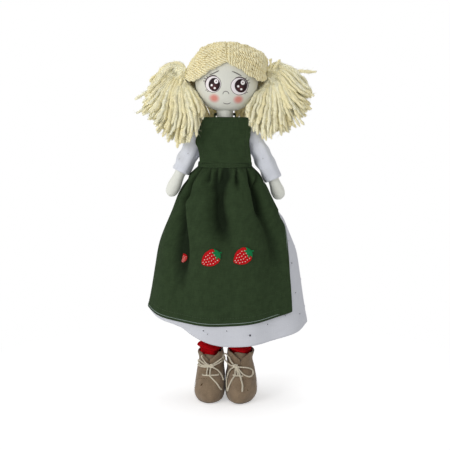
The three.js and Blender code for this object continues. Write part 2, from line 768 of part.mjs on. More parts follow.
// Neck strap: a narrow band from the top of the bib round the back of the neck
function makeNeckStrap() {
  const out = neckRadius + strapThickness + layClearance;
  const foot = bibPoint(out, bibTop, pinaforeThickness / 2);
  const start = foot.z + clearance + strapWidth / 2;
  const half = [
    new THREE.Vector3(out * 1.04, foot.y, start),
    new THREE.Vector3(out * 1.1, foot.y * 0.55, start + strapRise * 0.2),
    new THREE.Vector3(out * 1.06, 0, start + strapRise * 0.32),
    new THREE.Vector3(out * 0.72, out * 0.72, start + strapRise * 0.36),
  ];
  const other = half.map((point) => new THREE.Vector3(-point.x, point.y, point.z)).reverse();
  const route = new THREE.CatmullRomCurve3([...half, new THREE.Vector3(0, out, half[3].z), ...other]);
  const rings = [];
  const steps = 20;
  for (let i = 0; i <= steps; i += 1) {
    const middle = route.getPointAt(i / steps);
    const along = route.getTangentAt(i / steps);
    const outwards = new THREE.Vector3().crossVectors(along, up).normalize();
    rings.push([[1, 1], [1, -1], [-1, -1], [-1, 1]].map(([a, b]) => middle.clone()
      .addScaledVector(outwards, (a * strapThickness) / 2)
      .addScaledVector(up, (b * strapWidth) / 2)));
  }
  return loft(rings);
}
addPiece('neck_strap', makeNeckStrap(), pinaforeCloth);

// Boots: every layer of boot, sock and foot is the same form at another inset
// A level is [height, front, back, half width]
const bootLevelShares = [
  [0, 0.87, 0.9, 0.83], [0.03, 0.915, 0.94, 0.88], [0.08, 0.965, 0.985, 0.95], [0.19, 1, 1, 1],
  [0.31, 0.975, 0.995, 0.985], [0.42, 0.88, 0.98, 0.93], [0.52, 0.71, 0.96, 0.88], [0.62, 0.545, 0.935, 0.85],
  [0.75, 0.43, 0.89, 0.82], [0.88, 0.385, 0.85, 0.805], [1, 0.37, 0.82, 0.81],
];
function bootCurve(column, size) {
  return through(bootLevelShares.map((row) => [row[0] * bootHeight, row[column] * size]));
}
const bootFrontAt = bootCurve(1, bootFront);
const bootBackAt = bootCurve(2, bootBack);
const bootHalfWidthAt = bootCurve(3, bootHalfWidth);
function bootPoint(angle, z, inset) {
  const halfDepth = (bootFrontAt(z) + bootBackAt(z)) / 2 - inset;
  const middle = (bootBackAt(z) - bootFrontAt(z)) / 2;
  const halfWidth = bootHalfWidthAt(z) - inset;
  return new THREE.Vector3(
    halfWidth * signedPower(Math.sin(angle), 2 / bootSquareness),
    middle - halfDepth * signedPower(Math.cos(angle), 2 / bootSquareness),
    z,
  );
}
function bootRing(z, inset, extraInFront = 0, count = bootCount) {
  const ring = [];
  for (let i = 0; i < count; i += 1) {
    const angle = (i / count) * Math.PI * 2;
    ring.push(bootPoint(angle, z, inset + extraInFront * Math.max(0, Math.cos(angle)) ** 0.6));
  }
  return ring;
}
// The outside of the boot at a place across its front
function bootFace(x, z, out) {
  const halfDepth = (bootFrontAt(z) + bootBackAt(z)) / 2;
  const middle = (bootBackAt(z) - bootFrontAt(z)) / 2;
  const share = Math.min(1, Math.abs(x) / bootHalfWidthAt(z));
  const along = halfDepth * (1 - share ** bootSquareness) ** (1 / bootSquareness);
  return new THREE.Vector3(x, middle - along - out, z);
}
const upperBottom = soleThickness + clearance;
const bootLevels = [
  upperBottom,
  ...bootLevelShares.slice(2).map((row) => row[0] * bootHeight),
];
const seamShares = [[0, 0.1], [0.23, 0.22], [0.4, 0.36], [0.5, 0.52], [0.55, 0.75]];
function vampRegion(gap) {
  const seam = seamShares.map(([z, y]) => [-y * bootFront + gap, z * bootHeight + gap]);
  const far = bootFront + cutOverrun;
  const outline = [[-far, -far], [seam[0][0], -far], ...seam, [-far, seam[seam.length - 1][1]]];
  return extruded(outline, backwards, up, -far, far);
}
function throatCut() {
  const bottom = highEyeletHeight - (highEyeletHeight - lowEyeletHeight) * 1.6;
  const split = highEyeletHeight + eyeletRadius * 2;
  const outline = [
    [-facingSlit / 2, bottom], [facingSlit / 2, bottom], [facingSlit / 2, split],
    [facingOpening, bootHeight + cutOverrun], [-facingOpening, bootHeight + cutOverrun],
    [-facingSlit / 2, split],
  ];
  return extruded(outline, right, up, 0, bootFront + cutOverrun);
}
function eyeletCut(x, z) {
  const hole = new THREE.CylinderGeometry(eyeletRadius, eyeletRadius, feltThickness * 4, 10);
  const middle = bootFace(x, z, -feltThickness);
  hole.translate(middle.x, middle.y, middle.z);
  return solid(hole);
}
const eyelets = [lowEyeletHeight, highEyeletHeight].flatMap((z) => [
  [-eyeletSpacing / 2, z], [eyeletSpacing / 2, z],
]);

// Lace: two crossings, a knot with two loops and two loose ends, all one cord
function makeLace() {
  const out = laceRadius + clearance;
  const face = (x, z, lift = 0) => bootFace(x, z, out + lift);
  const half = eyeletSpacing / 2;
  const intoEyelet = (x, z) => bootFace(x, z, -feltThickness * 0.6);
  const crossing = (z) => [
    intoEyelet(-half, z), face(-half, z, laceRadius), face(-half * 0.4, z, clearance),
    face(half * 0.4, z, clearance), face(half, z, laceRadius), intoEyelet(half, z),
  ];
  const knot = new THREE.SphereGeometry(knotRadius, 8, 6);
  const knotPlace = bootFace(0, highEyeletHeight, clearance + knotRadius * 0.9);
  knot.scale(1, 0.8, 1);
  knot.translate(knotPlace.x, knotPlace.y, knotPlace.z);
  const loop = (side) => {
    const reach = laceLoopReach * (side > 0 ? 1 : 0.8);
    const lift = knotRadius;
    return [
      [0.05, 0], [0.45, 0.3], [0.85, 0.34], [1, 0.08], [0.8, -0.2], [0.4, -0.16], [0.05, -0.02],
    ].map(([x, z]) => bootFace(side * x * reach, highEyeletHeight + z * reach, out + lift * (1 - x * 0.6)));
  };
  const end = (side) => [[0, 0], [0.25, -0.3], [0.4, -0.65], [0.36, -1]].map(([x, z]) => bootFace(
    side * x * laceEndReach,
    highEyeletHeight + z * laceEndReach,
    out + clearance + knotRadius * 0.6 * (1 + z),
  ));
  const stay = (side) => [0, 0.5, 1].map((share) => face(
    side * laceRadius * 1.1,
    between(highEyeletHeight, lowEyeletHeight, share),
    laceRadius,
  ));
  const routes = [
    [crossing(lowEyeletHeight), 7], [crossing(highEyeletHeight), 7],
    [stay(-1), 2], [stay(1), 2],
    [loop(-1), 10], [loop(1), 10],
    [end(-1), 5], [end(1), 5],
  ];
  let lace = solid(knot);
  routes.forEach(([points, steps]) => {
    lace = lace.add(solid(cordAlong(points, laceRadius, steps)));
  });
  return lace;
}
function makeTongue() {
  const bottom = bootHeight * 0.6;
  const inset = feltThickness + layClearance;
  const spread = Math.PI * 0.2;
  return clothPanel(8, 5, (u, v, side) => {
    const angle = (u * 2 - 1) * spread * (0.8 + 0.2 * v);
    const arch = tongueAboveBoot * 2 * (1 - (u * 2 - 1) ** 2) - tongueAboveBoot;
    const z = between(bottom, bootHeight + arch, v);
    return bootPoint(angle, z, inset + (1 - side) * tongueThickness);
  });
}
function makeBoot() {
  const outer = bootLevels.map((z) => bootRing(z, 0));
  const inner = bootLevels.map((z) => bootRing(z, feltThickness));
  const upper = solid(loft([...outer, ...inner.reverse()], true));
  let quarter = upper.subtract(vampRegion(clearance)).subtract(throatCut());
  eyelets.forEach(([x, z]) => { quarter = quarter.subtract(eyeletCut(x, z)); });
  const soleRings = [0, soleThickness / 2, soleThickness].map((z) => bootRing(z, soleInset));
  return {
    sole: loft(soleRings),
    vamp: geometryOf(upper.intersect(vampRegion(0))),
    quarter: geometryOf(quarter),
    tongue: makeTongue(),
    lace: geometryOf(makeLace()),
  };
}

// Legs and socks: the foot and the sock inside the boot follow the boot's form, with room for the tongue
const sockInset = feltThickness + layClearance;
const tongueRoom = tongueThickness + layClearance + clearance;
const footLevels = [
  ...bootLevelShares.slice(2, -1).map((row) => row[0] * bootHeight),
  bootHeight + tongueAboveBoot + clearance,
];
const ankleY = (bootBackAt(bootHeight) - bootFrontAt(bootHeight) + tongueRoom) / 2;
function ankleRing(z, radius, y) {
  const ring = [];
  for (let i = 0; i < footCount; i += 1) {
    const angle = (i / footCount) * Math.PI * 2;
    ring.push(new THREE.Vector3(radius * Math.sin(angle), y - radius * Math.cos(angle), z));
  }
  return ring;
}
const sockTop = bootHeight + sockAboveBoot;
function makeSock() {
  const bottom = soleThickness + clearance;
  const legY = (z) => ankleY * (1 - (z - bootHeight) / (hipHeight - bootHeight));
  const at = (inset, floor) => [
    bootRing(floor, inset + sockThickness, tongueRoom, footCount),
    ...footLevels.map((z) => bootRing(z, inset, tongueRoom, footCount)),
  ];
  const cuff = (radius) => [
    ankleRing(between(bootHeight, sockTop, 0.35), radius, legY(between(bootHeight, sockTop, 0.35))),
    ankleRing(sockTop, radius + sockThickness * 0.5, legY(sockTop)),
  ];
  const legRadius = ankleRadius + clearance;
  const outer = [...at(sockInset, bottom), ...cuff(legRadius + sockThickness)];
  const inner = [...at(sockInset + sockThickness, bottom + sockThickness), ...cuff(legRadius)];
  return loft([...outer, ...inner.reverse()]);
}
function makeLeg() {
  const inset = sockInset + sockThickness + layClearance;
  const bottom = soleThickness + sockThickness + clearance * 2;
  const legY = through([[bootHeight, ankleY], [hipHeight, 0]]);
  const radius = through([
    [bootHeight, ankleRadius - clearance],
    [sockTop, ankleRadius - clearance],
    [(bootHeight + hipHeight) / 2, kneeRadius],
    [hipHeight, thighRadius],
  ]);
  const shinLevels = [between(bootHeight, sockTop, 0.35), sockTop].concat(
    [0.3, 0.6, 0.85, 1].map((share) => between(sockTop, hipHeight, share)),
  );
  const dome = [0.35, 0.65, 0.87, 0.98];
  return loft([
    bootRing(bottom, inset + sockThickness, tongueRoom, footCount),
    ...footLevels.map((z) => bootRing(z, inset, tongueRoom, footCount)),
    ...shinLevels.map((z) => ankleRing(z, radius(z), legY(z))),
    ...dome.map((share) => ankleRing(
      hipHeight + thighRadius * share,
      thighRadius * Math.sqrt(1 - share ** 2),
      0,
    )),
  ]);
}

[['left', 1], ['right', -1]].forEach(([name, side]) => {
  const boot = makeBoot();
  const placed = (geometry) => {
    if (side < 0) {
      geometry.scale(-1, 1, 1);
      const index = geometry.index ? Array.from(geometry.index.array) : null;
      if (index) {
        for (let i = 0; i < index.length; i += 3) [index[i], index[i + 1]] = [index[i + 1], index[i]];
        geometry.setIndex(index);
      }
    }
    return geometry.translate(side * legOffset, 0, 0);
  };
  addPiece(`leg_${name}`, placed(makeLeg()), skinCloth);
  addPiece(`sock_${name}`, placed(makeSock()), sockCloth);
  addPiece(`boot_sole_${name}`, placed(boot.sole), soleFelt);
  addPiece(`boot_vamp_${name}`, placed(boot.vamp), felt);
  addPiece(`boot_quarter_${name}`, placed(boot.quarter), felt);
  addPiece(`boot_tongue_${name}`, placed(boot.tongue), felt);
  addPiece(`boot_lace_${name}`, placed(boot.lace), laceCord);
});

export default doll;
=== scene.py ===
# %% [markdown]
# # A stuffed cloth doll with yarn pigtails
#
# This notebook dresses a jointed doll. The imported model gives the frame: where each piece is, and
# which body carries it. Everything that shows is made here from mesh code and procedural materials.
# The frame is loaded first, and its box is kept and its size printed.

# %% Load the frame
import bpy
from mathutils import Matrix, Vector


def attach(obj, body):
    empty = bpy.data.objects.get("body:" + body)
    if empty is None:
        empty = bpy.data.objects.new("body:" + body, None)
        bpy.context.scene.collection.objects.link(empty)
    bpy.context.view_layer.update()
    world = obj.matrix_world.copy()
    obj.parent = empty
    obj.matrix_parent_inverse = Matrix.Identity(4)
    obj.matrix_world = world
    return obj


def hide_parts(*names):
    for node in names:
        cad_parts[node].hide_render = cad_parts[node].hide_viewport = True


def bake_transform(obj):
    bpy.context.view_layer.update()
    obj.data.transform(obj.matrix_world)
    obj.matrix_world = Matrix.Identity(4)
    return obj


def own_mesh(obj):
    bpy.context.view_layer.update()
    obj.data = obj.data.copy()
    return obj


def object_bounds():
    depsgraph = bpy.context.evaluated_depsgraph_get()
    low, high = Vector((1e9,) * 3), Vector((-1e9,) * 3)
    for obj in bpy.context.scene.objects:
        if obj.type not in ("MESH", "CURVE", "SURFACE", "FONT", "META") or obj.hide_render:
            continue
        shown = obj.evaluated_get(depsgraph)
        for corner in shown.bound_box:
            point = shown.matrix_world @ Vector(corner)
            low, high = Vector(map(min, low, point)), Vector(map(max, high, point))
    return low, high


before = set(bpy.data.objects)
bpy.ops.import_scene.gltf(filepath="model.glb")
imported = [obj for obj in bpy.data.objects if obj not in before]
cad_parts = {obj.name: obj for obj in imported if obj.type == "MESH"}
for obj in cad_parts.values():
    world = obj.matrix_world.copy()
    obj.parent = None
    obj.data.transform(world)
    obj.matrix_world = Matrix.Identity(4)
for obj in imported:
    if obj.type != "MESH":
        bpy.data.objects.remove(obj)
cad_box = [list(corner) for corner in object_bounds()]

import math

import bpy
import numpy as np

MM = 0.001
TURN = 2 * math.pi
doll_size = [round((high - low) / MM, 1) for low, high in zip(*cad_box)]
print("the frame's box, mm:", doll_size)

# %% [markdown]
# ## Camera
#
# The doll was seen from the front, from the height of its face, with a lens that is long enough to
# keep the boots and the head in proportion. The camera looks down at a point on the doll's middle
# line, so no shift is needed, and depth of field stays off.

# %% The camera
CAMERA_DISTANCE = 1.150
CAMERA_HEIGHT = 0.385
LOOK_AT_HEIGHT = 0.2222
LENS = 73.4

camera_data = bpy.data.cameras.new("camera")
camera_data.lens = LENS
camera = bpy.data.objects.new("camera", camera_data)
camera.location = (0, -CAMERA_DISTANCE, CAMERA_HEIGHT)
look_down = math.atan2(CAMERA_HEIGHT - LOOK_AT_HEIGHT, CAMERA_DISTANCE)
camera.rotation_euler = (math.pi / 2 - look_down, 0, 0)
bpy.context.scene.collection.objects.link(camera)
bpy.context.scene.camera = camera
print("the camera looks down by", round(math.degrees(look_down), 2), "degrees")

# %% [markdown]
# ## Light
#
# A doll photographed on white paper has one large soft light on one side and a weaker one on the
# other. Two area lamps do that, a third one is above the hair, and a pale world fills the shadows.
# At this level a colour renders about as it is written. The white behind the doll is the paper and
# the world, which are brighter to the camera than they are as light.

# %% Lamps and world
KEY_POWER = 11.0
FILL_POWER = 2.4
TOP_POWER = 3.2
WORLD_LEVEL = 0.53
WHITE = (1.0, 1.0, 1.0, 1.0)


def area_lamp(name, place, size, power):
    """A soft square lamp that faces the doll's chest."""
    data = bpy.data.lights.new(name, "AREA")
    data.size = size
    data.energy = power
    lamp = bpy.data.objects.new(name, data)
    lamp.location = place
    towards = np.array([0, 0, 0.25]) - np.array(place)
    flat = math.hypot(towards[0], towards[1])
    lamp.rotation_euler = (math.atan2(flat, -towards[2]), 0, math.atan2(-towards[0], towards[1]))
    bpy.context.scene.collection.objects.link(lamp)


area_lamp("key_lamp", (-1.25, -1.2, 0.75), 1.0, KEY_POWER)
area_lamp("fill_lamp", (0.95, -1.55, 0.14), 1.2, FILL_POWER)
area_lamp("top_lamp", (0.0, 0.3, 1.5), 1.0, TOP_POWER)
bpy.context.scene.view_settings.view_transform = "Standard"


class Nodes:
    """Short ways to place shader nodes in one tree and to join them."""

    def __init__(self, tree):
        self.tree = tree

    def put(self, value, socket):
        if isinstance(value, bpy.types.NodeSocket):
            self.tree.links.new(value, socket)
        elif value is not None:
            socket.default_value = value

    def add(self, kind, *values, **settings):
        """A node of a kind. Values go to its inputs in order, and settings to its properties."""
        node = self.tree.nodes.new("ShaderNode" + kind)
        for name, value in settings.items():
            setattr(node, name, value)
        for socket, value in zip(node.inputs, values):
            self.put(value, socket)
        return node

    def math(self, operation, *values):
        return self.add("Math", *values, operation=operation).outputs[0]

    def plus(self, first, second):
        return self.math("ADD", first, second)

    def minus(self, first, second):
        return self.math("SUBTRACT", first, second)

    def times(self, first, second):
        return self.math("MULTIPLY", first, second)

    def vector(self, operation, *values):
        return self.add("VectorMath", *values, operation=operation).outputs[0]

    def length(self, vector):
        return self.add("VectorMath", vector, operation="LENGTH").outputs["Value"]

    def scaled(self, vector, factor):
        node = self.add("VectorMath", vector, operation="SCALE")
        self.put(factor, node.inputs["Scale"])
        return node.outputs[0]

    def mix(self, share, first, second):
        """A colour between two."""
        node = self.add("Mix", data_type="RGBA")
        for socket, value in zip([s for s in node.inputs if s.enabled], (share, first, second)):
            self.put(value, socket)
        return [s for s in node.outputs if s.enabled][0]

    def noise(self, vector, scale, detail=2.0):
        node = self.add("TexNoise")
        for name, value in (("Vector", vector), ("Scale", scale), ("Detail", detail)):
            self.put(value, node.inputs[name])
        return node.outputs[0]

    def spread(self, value, low, high, to_low=0.0, to_high=1.0):
        """Stretches a value from one range to another, and holds it there."""
        return self.add("MapRange", value, low, high, to_low, to_high).outputs[0]

    def use(self, group, **values):
        """A copy of a shared group, with its named inputs set."""
        node = self.tree.nodes.new("ShaderNodeGroup")
        node.node_tree = group
        for name, value in values.items():
            self.put(value, node.inputs[name])
        return node.outputs

    def seen(self):
        """1 for what the camera sees, also in a mirror or through glass, and 0 for bounced light."""
        rays = self.add("LightPath").outputs
        mirrored = self.math("MAXIMUM", rays["Is Glossy Ray"], rays["Is Transmission Ray"])
        return self.math("MAXIMUM", rays["Is Camera Ray"], mirrored)


world = bpy.data.worlds.new("studio")
bpy.context.scene.world = world
world.use_nodes = True
world.node_tree.nodes.clear()
n = Nodes(world.node_tree)
backdrop = n.add("Background", WHITE, n.spread(n.seen(), 0.0, 1.0, WORLD_LEVEL, 1.0))
n.add("OutputWorld", backdrop.outputs[0])
print("world level", WORLD_LEVEL, "and lamps", KEY_POWER, FILL_POWER, TOP_POWER)

# %% [markdown]
# ## Numbers that the shapes share
#
# The body, skirts and boots follow smooth curves through a few given keys. `through` draws
# such a curve without overshooting, `smooth_route` does the same in space, and `spow` makes the
# rounded squares that stuffed cloth likes. A little seeded waviness keeps soft things from being
# perfect: it is a sum of a few random waves, so it is smooth and always the same.

# %% Curves and waves
def through(keys):
    """A smooth curve through keys (place, value), for numbers or arrays."""
    x, y = np.array(keys, float).T
    step, rise = np.diff(x), np.diff(y)
    slope = rise / step
    m = np.zeros(len(x))
    m[0], m[-1] = slope[0], slope[-1]
    for i in range(1, len(x) - 1):
        if slope[i - 1] * slope[i] > 0:
            m[i] = 2 * slope[i - 1] * slope[i] / (slope[i - 1] + slope[i])

    def at(place):
        p = np.clip(np.asarray(place, float), x[0], x[-1])
        i = np.clip(np.searchsorted(x, p, side="right") - 1, 0, len(x) - 2)
        t = (p - x[i]) / step[i]
        bend = m[i] * t * (1 - t) ** 2 - m[i + 1] * t ** 2 * (1 - t)
        return y[i] + rise[i] * t ** 2 * (3 - 2 * t) + step[i] * bend

    return at


def spow(value, power):
    """A power that keeps the sign."""
    return np.sign(value) * np.abs(value) ** power


def between(low, high, share):
    return low + (np.asarray(high) - low) * share


def evenly(count):
    return np.linspace(0, 1, count)


def ramp(value, start, length):
    """0 up to the start, and 1 from a length after it."""
    return np.clip((value - start) / length, 0, 1)


def bell(off, width):
    return np.exp(-(off / width) ** 2)


def points_at(x, y, z):
    """Places (x, y, z) from numbers or arrays that fit together."""
    return np.stack(np.broadcast_arrays(x, y, z), -1).astype(float)


def unit(vectors):
    """The same directions at length 1."""
    return vectors / (np.linalg.norm(vectors, axis=-1, keepdims=True) + 1e-12)


def level_out(points):
    """The level directions away from the doll's middle line."""
    return unit(points * [1, 1, 0])


def round_angles(count):
    """Evenly spaced angles of one turn, without its end."""
    return np.linspace(0, TURN, count, endpoint=False)


def half_turned(angle):
    """The same angle between minus and plus half a turn."""
    return (angle + math.pi) % TURN - math.pi


def loop(path):
    """A path that comes back to its start."""
    return np.concatenate([path, path[:1]])


def along(path):
    """How far along a path each of its points is."""
    return np.concatenate([[0], np.cumsum(np.linalg.norm(np.diff(path, axis=0), axis=1))])


def resample(path, count):
    """The same path in count + 1 evenly spaced points."""
    far = along(path)
    places = np.linspace(0, far[-1], count + 1)
    return np.stack([np.interp(places, far, path[:, k]) for k in range(3)], 1)


def smooth_route(points, count):
    """Evenly spaced points on a smooth curve through the given ones, blended from the nearest four."""
    p = np.array(points, float)
    p = np.vstack([2 * p[0] - p[1], p, 2 * p[-1] - p[-2]])
    knot = np.concatenate([[0], np.cumsum(np.sqrt(np.linalg.norm(np.diff(p, axis=0), axis=1)) + 1e-6)])
    fine = []
    for i in range(1, len(p) - 2):
        k, blend = knot[i - 1:i + 3], p[i - 1:i + 3]
        t = np.linspace(k[1], k[2], 24, endpoint=False)[:, None]
        for gap in (1, 2):
            blend = [((k[j + gap] - t) * blend[j] + (t - k[j]) * blend[j + 1]) / (k[j + gap] - k[j])
                     for j in range(4 - gap)]
        fine.append(((k[2] - t) * blend[0] + (t - k[1]) * blend[1]) / (k[2] - k[1]))
    return resample(np.vstack(fine + [p[-2:-1]]), count)


def waviness(points, size, seed, waves=7):
    """Smooth random numbers of about -1 to 1 over points, with bumps of about a given size."""
    chance = np.random.default_rng(seed)
    total = 0
    for _ in range(waves):
        way = chance.normal(size=3)
        way *= TURN / (size * chance.uniform(1.4, 2.8) * np.linalg.norm(way))
        total = total + np.sin(points @ way + chance.uniform(0, TURN))
    return total / math.sqrt(waves)


test_route = smooth_route([(0, 0, 0), (5, 5, 0), (10, 0, 0)], 20)
print("a test route is", round(float(along(test_route)[-1]), 2), "mm long")

# %% [markdown]
# ## Meshes from grids
#
# Nearly every piece of a rag doll is either a sheet of cloth, a stuffed tube or a thread. Three
# builders cover them. `cloth` wraps a grid of points into a thin closed sheet with a rounded edge,
# `stuffed` closes a stack of rings, and `threads` sweeps a section along many routes at once and
# can twist it, which turns a three-lobed section into plied yarn. They work with whole arrays, as
# thousands of separate calls would be slow. Each face also gets its place on the flat cloth in
# millimetres, so that a weave follows the piece when it bends.

# %% Grids of faces
def grid_faces(rows, columns, wrap_rows=False, wrap_columns=False):
    """Quads over a grid, and the grid place (column, row) of each corner."""
    j, i = np.mgrid[0:rows - (not wrap_rows), 0:columns - (not wrap_columns)].reshape(2, -1)
    corners = [(i, j), (i, j + 1), (i + 1, j + 1), (i + 1, j)]
    quads = np.stack([(b % rows) * columns + a % columns for a, b in corners], 1)
    return quads, np.stack([np.stack(corner, 1) for corner in corners], 1)


def outwards(points, faces, spots):
    """The faces of a closed mesh with their places on the cloth, turned so that they look outwards."""
    a, b, c = (points[faces[0][:, k]] for k in range(3))
    if float(np.einsum("ij,ij->i", a, np.cross(b, c)).sum()) > 0:
        return faces, spots
    return [f[:, ::-1] for f in faces], [s[:, ::-1] for s in spots]


def new_piece(name, parts, material, body, slot, *nodes, tinted=False):
    """A mesh object in the frame, from points in millimetres, faces, places on the flat cloth and tints."""
    points, face_sets, spots, tint = parts
    mesh = bpy.data.meshes.new(name)
    corners = np.concatenate([faces.ravel() for faces in face_sets])
    sizes = np.concatenate([np.full(len(faces), faces.shape[1]) for faces in face_sets])
    mesh.vertices.add(len(points))
    mesh.vertices.foreach_set("co", (np.asarray(points) * MM).astype(np.float32).ravel())
    mesh.loops.add(len(corners))
    mesh.loops.foreach_set("vertex_index", corners.astype(np.int32))
    mesh.polygons.add(len(sizes))
    mesh.polygons.foreach_set("loop_start", (np.cumsum(sizes) - sizes).astype(np.int32))
    mesh.update(calc_edges=True)
    layer = mesh.uv_layers.new(name="cloth")
    layer.data.foreach_set("uv", np.concatenate([s.reshape(-1, 2) for s in spots]).astype(np.float32).ravel())
    if tinted:
        colours = np.concatenate([tint, np.ones((len(points), 2))], 1)
        attribute = mesh.attributes.new("tint", "FLOAT_COLOR", "POINT")
        attribute.data.foreach_set("color", colours.astype(np.float32).ravel())
    mesh.validate()
    mesh.shade_smooth()
    mesh.materials.append(material)
    obj = bpy.data.objects.new(name, mesh)
    bpy.context.scene.collection.objects.link(obj)
    if body:
        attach(obj, body)
    if nodes:
        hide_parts(*nodes)
    return obj


def joined(*parts):
    """Several (points, face sets, spots, tint) as one."""
    start, points, faces, spots, tints = 0, [], [], [], []
    for part_points, part_faces, part_spots, part_tint in parts:
        points.append(part_points)
        faces += [f + start for f in part_faces]
        spots += part_spots
        tints.append(np.zeros((len(part_points), 2)) if part_tint is None else part_tint)
        start += len(part_points)
    return np.concatenate(points), faces, spots, np.concatenate(tints)


print("faces of a 3 by 3 grid:", len(grid_faces(3, 3)[0]))


# %% Sheets of cloth
def cloth(middle, thickness, flat, closed=False):
    """A thin closed sheet round a grid of points [row, column], with a rounded edge all round."""
    rows, columns = middle.shape[:2]
    thick = np.broadcast_to(np.asarray(thickness, float), (rows, columns))[..., None] / 2
    if closed:
        across = np.roll(middle, -1, 1) - np.roll(middle, 1, 1)
    else:
        across = np.gradient(middle, axis=1)
    normal = unit(np.cross(np.gradient(middle, axis=0), across))
    outer, inner = middle + normal * thick, middle - normal * thick

    def rim(edge, next_in, half):
        return edge + unit(edge - next_in) * half

    top = rim(middle[0], middle[1], thick[0])
    bottom = rim(middle[-1], middle[-2], thick[-1])
    stack = np.concatenate([top[None], outer, bottom[None], inner[::-1]])
    points = stack.reshape(-1, 3)
    quads, places = grid_faces(len(stack), columns, wrap_rows=True, wrap_columns=closed)
    width, length = flat
    row_of = np.concatenate([[0], np.arange(rows), [rows - 1], np.arange(rows)[::-1], [0]])
    u_at = np.arange(columns + 1) * width / (columns - (not closed))
    v_at = row_of * length / (rows - 1)
    faces, spots = [quads], [np.stack([u_at[places[..., 0]], v_at[places[..., 1]]], -1)]
    if not closed:
        j = np.arange(rows - 1)
        for column, neighbour in ((0, 1), (columns - 1, columns - 2)):
            side = rim(middle[:, column], middle[:, neighbour], thick[:, column])
            first = len(points)
            points = np.concatenate([points, side])
            out = (1 + j) * columns + column
            back = (2 * rows + 1 - j) * columns + column
            s = first + j
            strip = np.concatenate([
                np.stack([out + columns, out, s, s + 1], 1),
                np.stack([back, back - columns, s + 1, s], 1),
            ])
            ends = np.array([
                [columns + column, column, first],
                [column, (2 * rows + 1) * columns + column, first],
                [(rows + 1) * columns + column, rows * columns + column, first + rows - 1],
                [(rows + 2) * columns + column, (rows + 1) * columns + column, first + rows - 1],
            ])
            for shape in (strip, ends):
                shape = shape if column == 0 else shape[:, ::-1]
                faces.append(shape)
                spots.append(np.full(shape.shape + (2,), u_at[column]))
    return (points, *outwards(points, faces, spots), None)


def flat_size(middle):
    """The longest row and the longest column of a grid of points, in millimetres."""
    across = np.linalg.norm(np.diff(middle, axis=1), axis=2).sum(1).max()
    down = np.linalg.norm(np.diff(middle, axis=0), axis=2).sum(0).max()
    return round(float(across) + 0.5, 1), round(float(down) + 0.5, 1)


def sheet_area(middle, closed=False):
    """The area of a grid of points, in square metres."""
    if closed:
        middle = np.concatenate([middle, middle[:, :1]], 1)
    a = middle[1:, 1:] - middle[:-1, :-1]
    b = middle[1:, :-1] - middle[:-1, 1:]
    return float(np.linalg.norm(np.cross(a, b), axis=2).sum() / 2) * MM ** 2


# %% Stuffed shapes
def end_fans(size, around):
    """Triangles that close both ends of a tube of so many points, to the two points after them."""
    i = np.arange(around)
    after = (i + 1) % around
    last = size - around
    low, high = np.full(around, size), np.full(around, size + 1)
    return np.concatenate([np.stack([low, i, after], 1), np.stack([high, last + after, last + i], 1)])


def stuffed(rings, girth, length):
    """A closed skin over a stack of rings [ring, point], with a fan at each end."""
    count, around = rings.shape[:2]
    quads, places = grid_faces(count, around, wrap_columns=True)
    points = np.concatenate([rings.reshape(-1, 3), rings[0].mean(0)[None], rings[-1].mean(0)[None]])
    ends = end_fans(count * around, around)
    spots = [places * [girth / around, length / count], np.zeros((len(ends), 3, 2))]
    faces = [quads, ends]
    return (points, *outwards(points, faces, spots), None)


def level_rings(half_width, half_depth, x, y, z, squareness, count):
    """Level rounded-square rings at several heights, each starting at the front and turning to +X."""
    angle = round_angles(count)[None, :]
    wide, deep, power, x, y = (np.broadcast_to(np.asarray(v, float), z.shape)[:, None] for v in (
        half_width, half_depth, 2 / np.asarray(squareness, float), x, y))
    return points_at(x + wide * spow(np.sin(angle), power), y - deep * spow(np.cos(angle), power), z[:, None])


# %% Threads, cords and yarn
def plies(lobe):
    """The section of a three-ply thread: every ply repeats a lobe of (angle, share of the radius)."""
    return [(120 * ply + turn, share) for ply in range(3) for turn, share in lobe]


ROUND = [(k * 60, 1.0) for k in range(6)]
PLIED = plies([(-28, 1.0), (28, 1.0), (60, 0.66)])
CHUNKY = plies([(-30, 1.0), (0, 1.1), (30, 1.0), (60, 0.52)])
FINE_PLIED = plies([(-36, 0.9), (0, 1.06), (36, 0.9), (60, 0.6)])


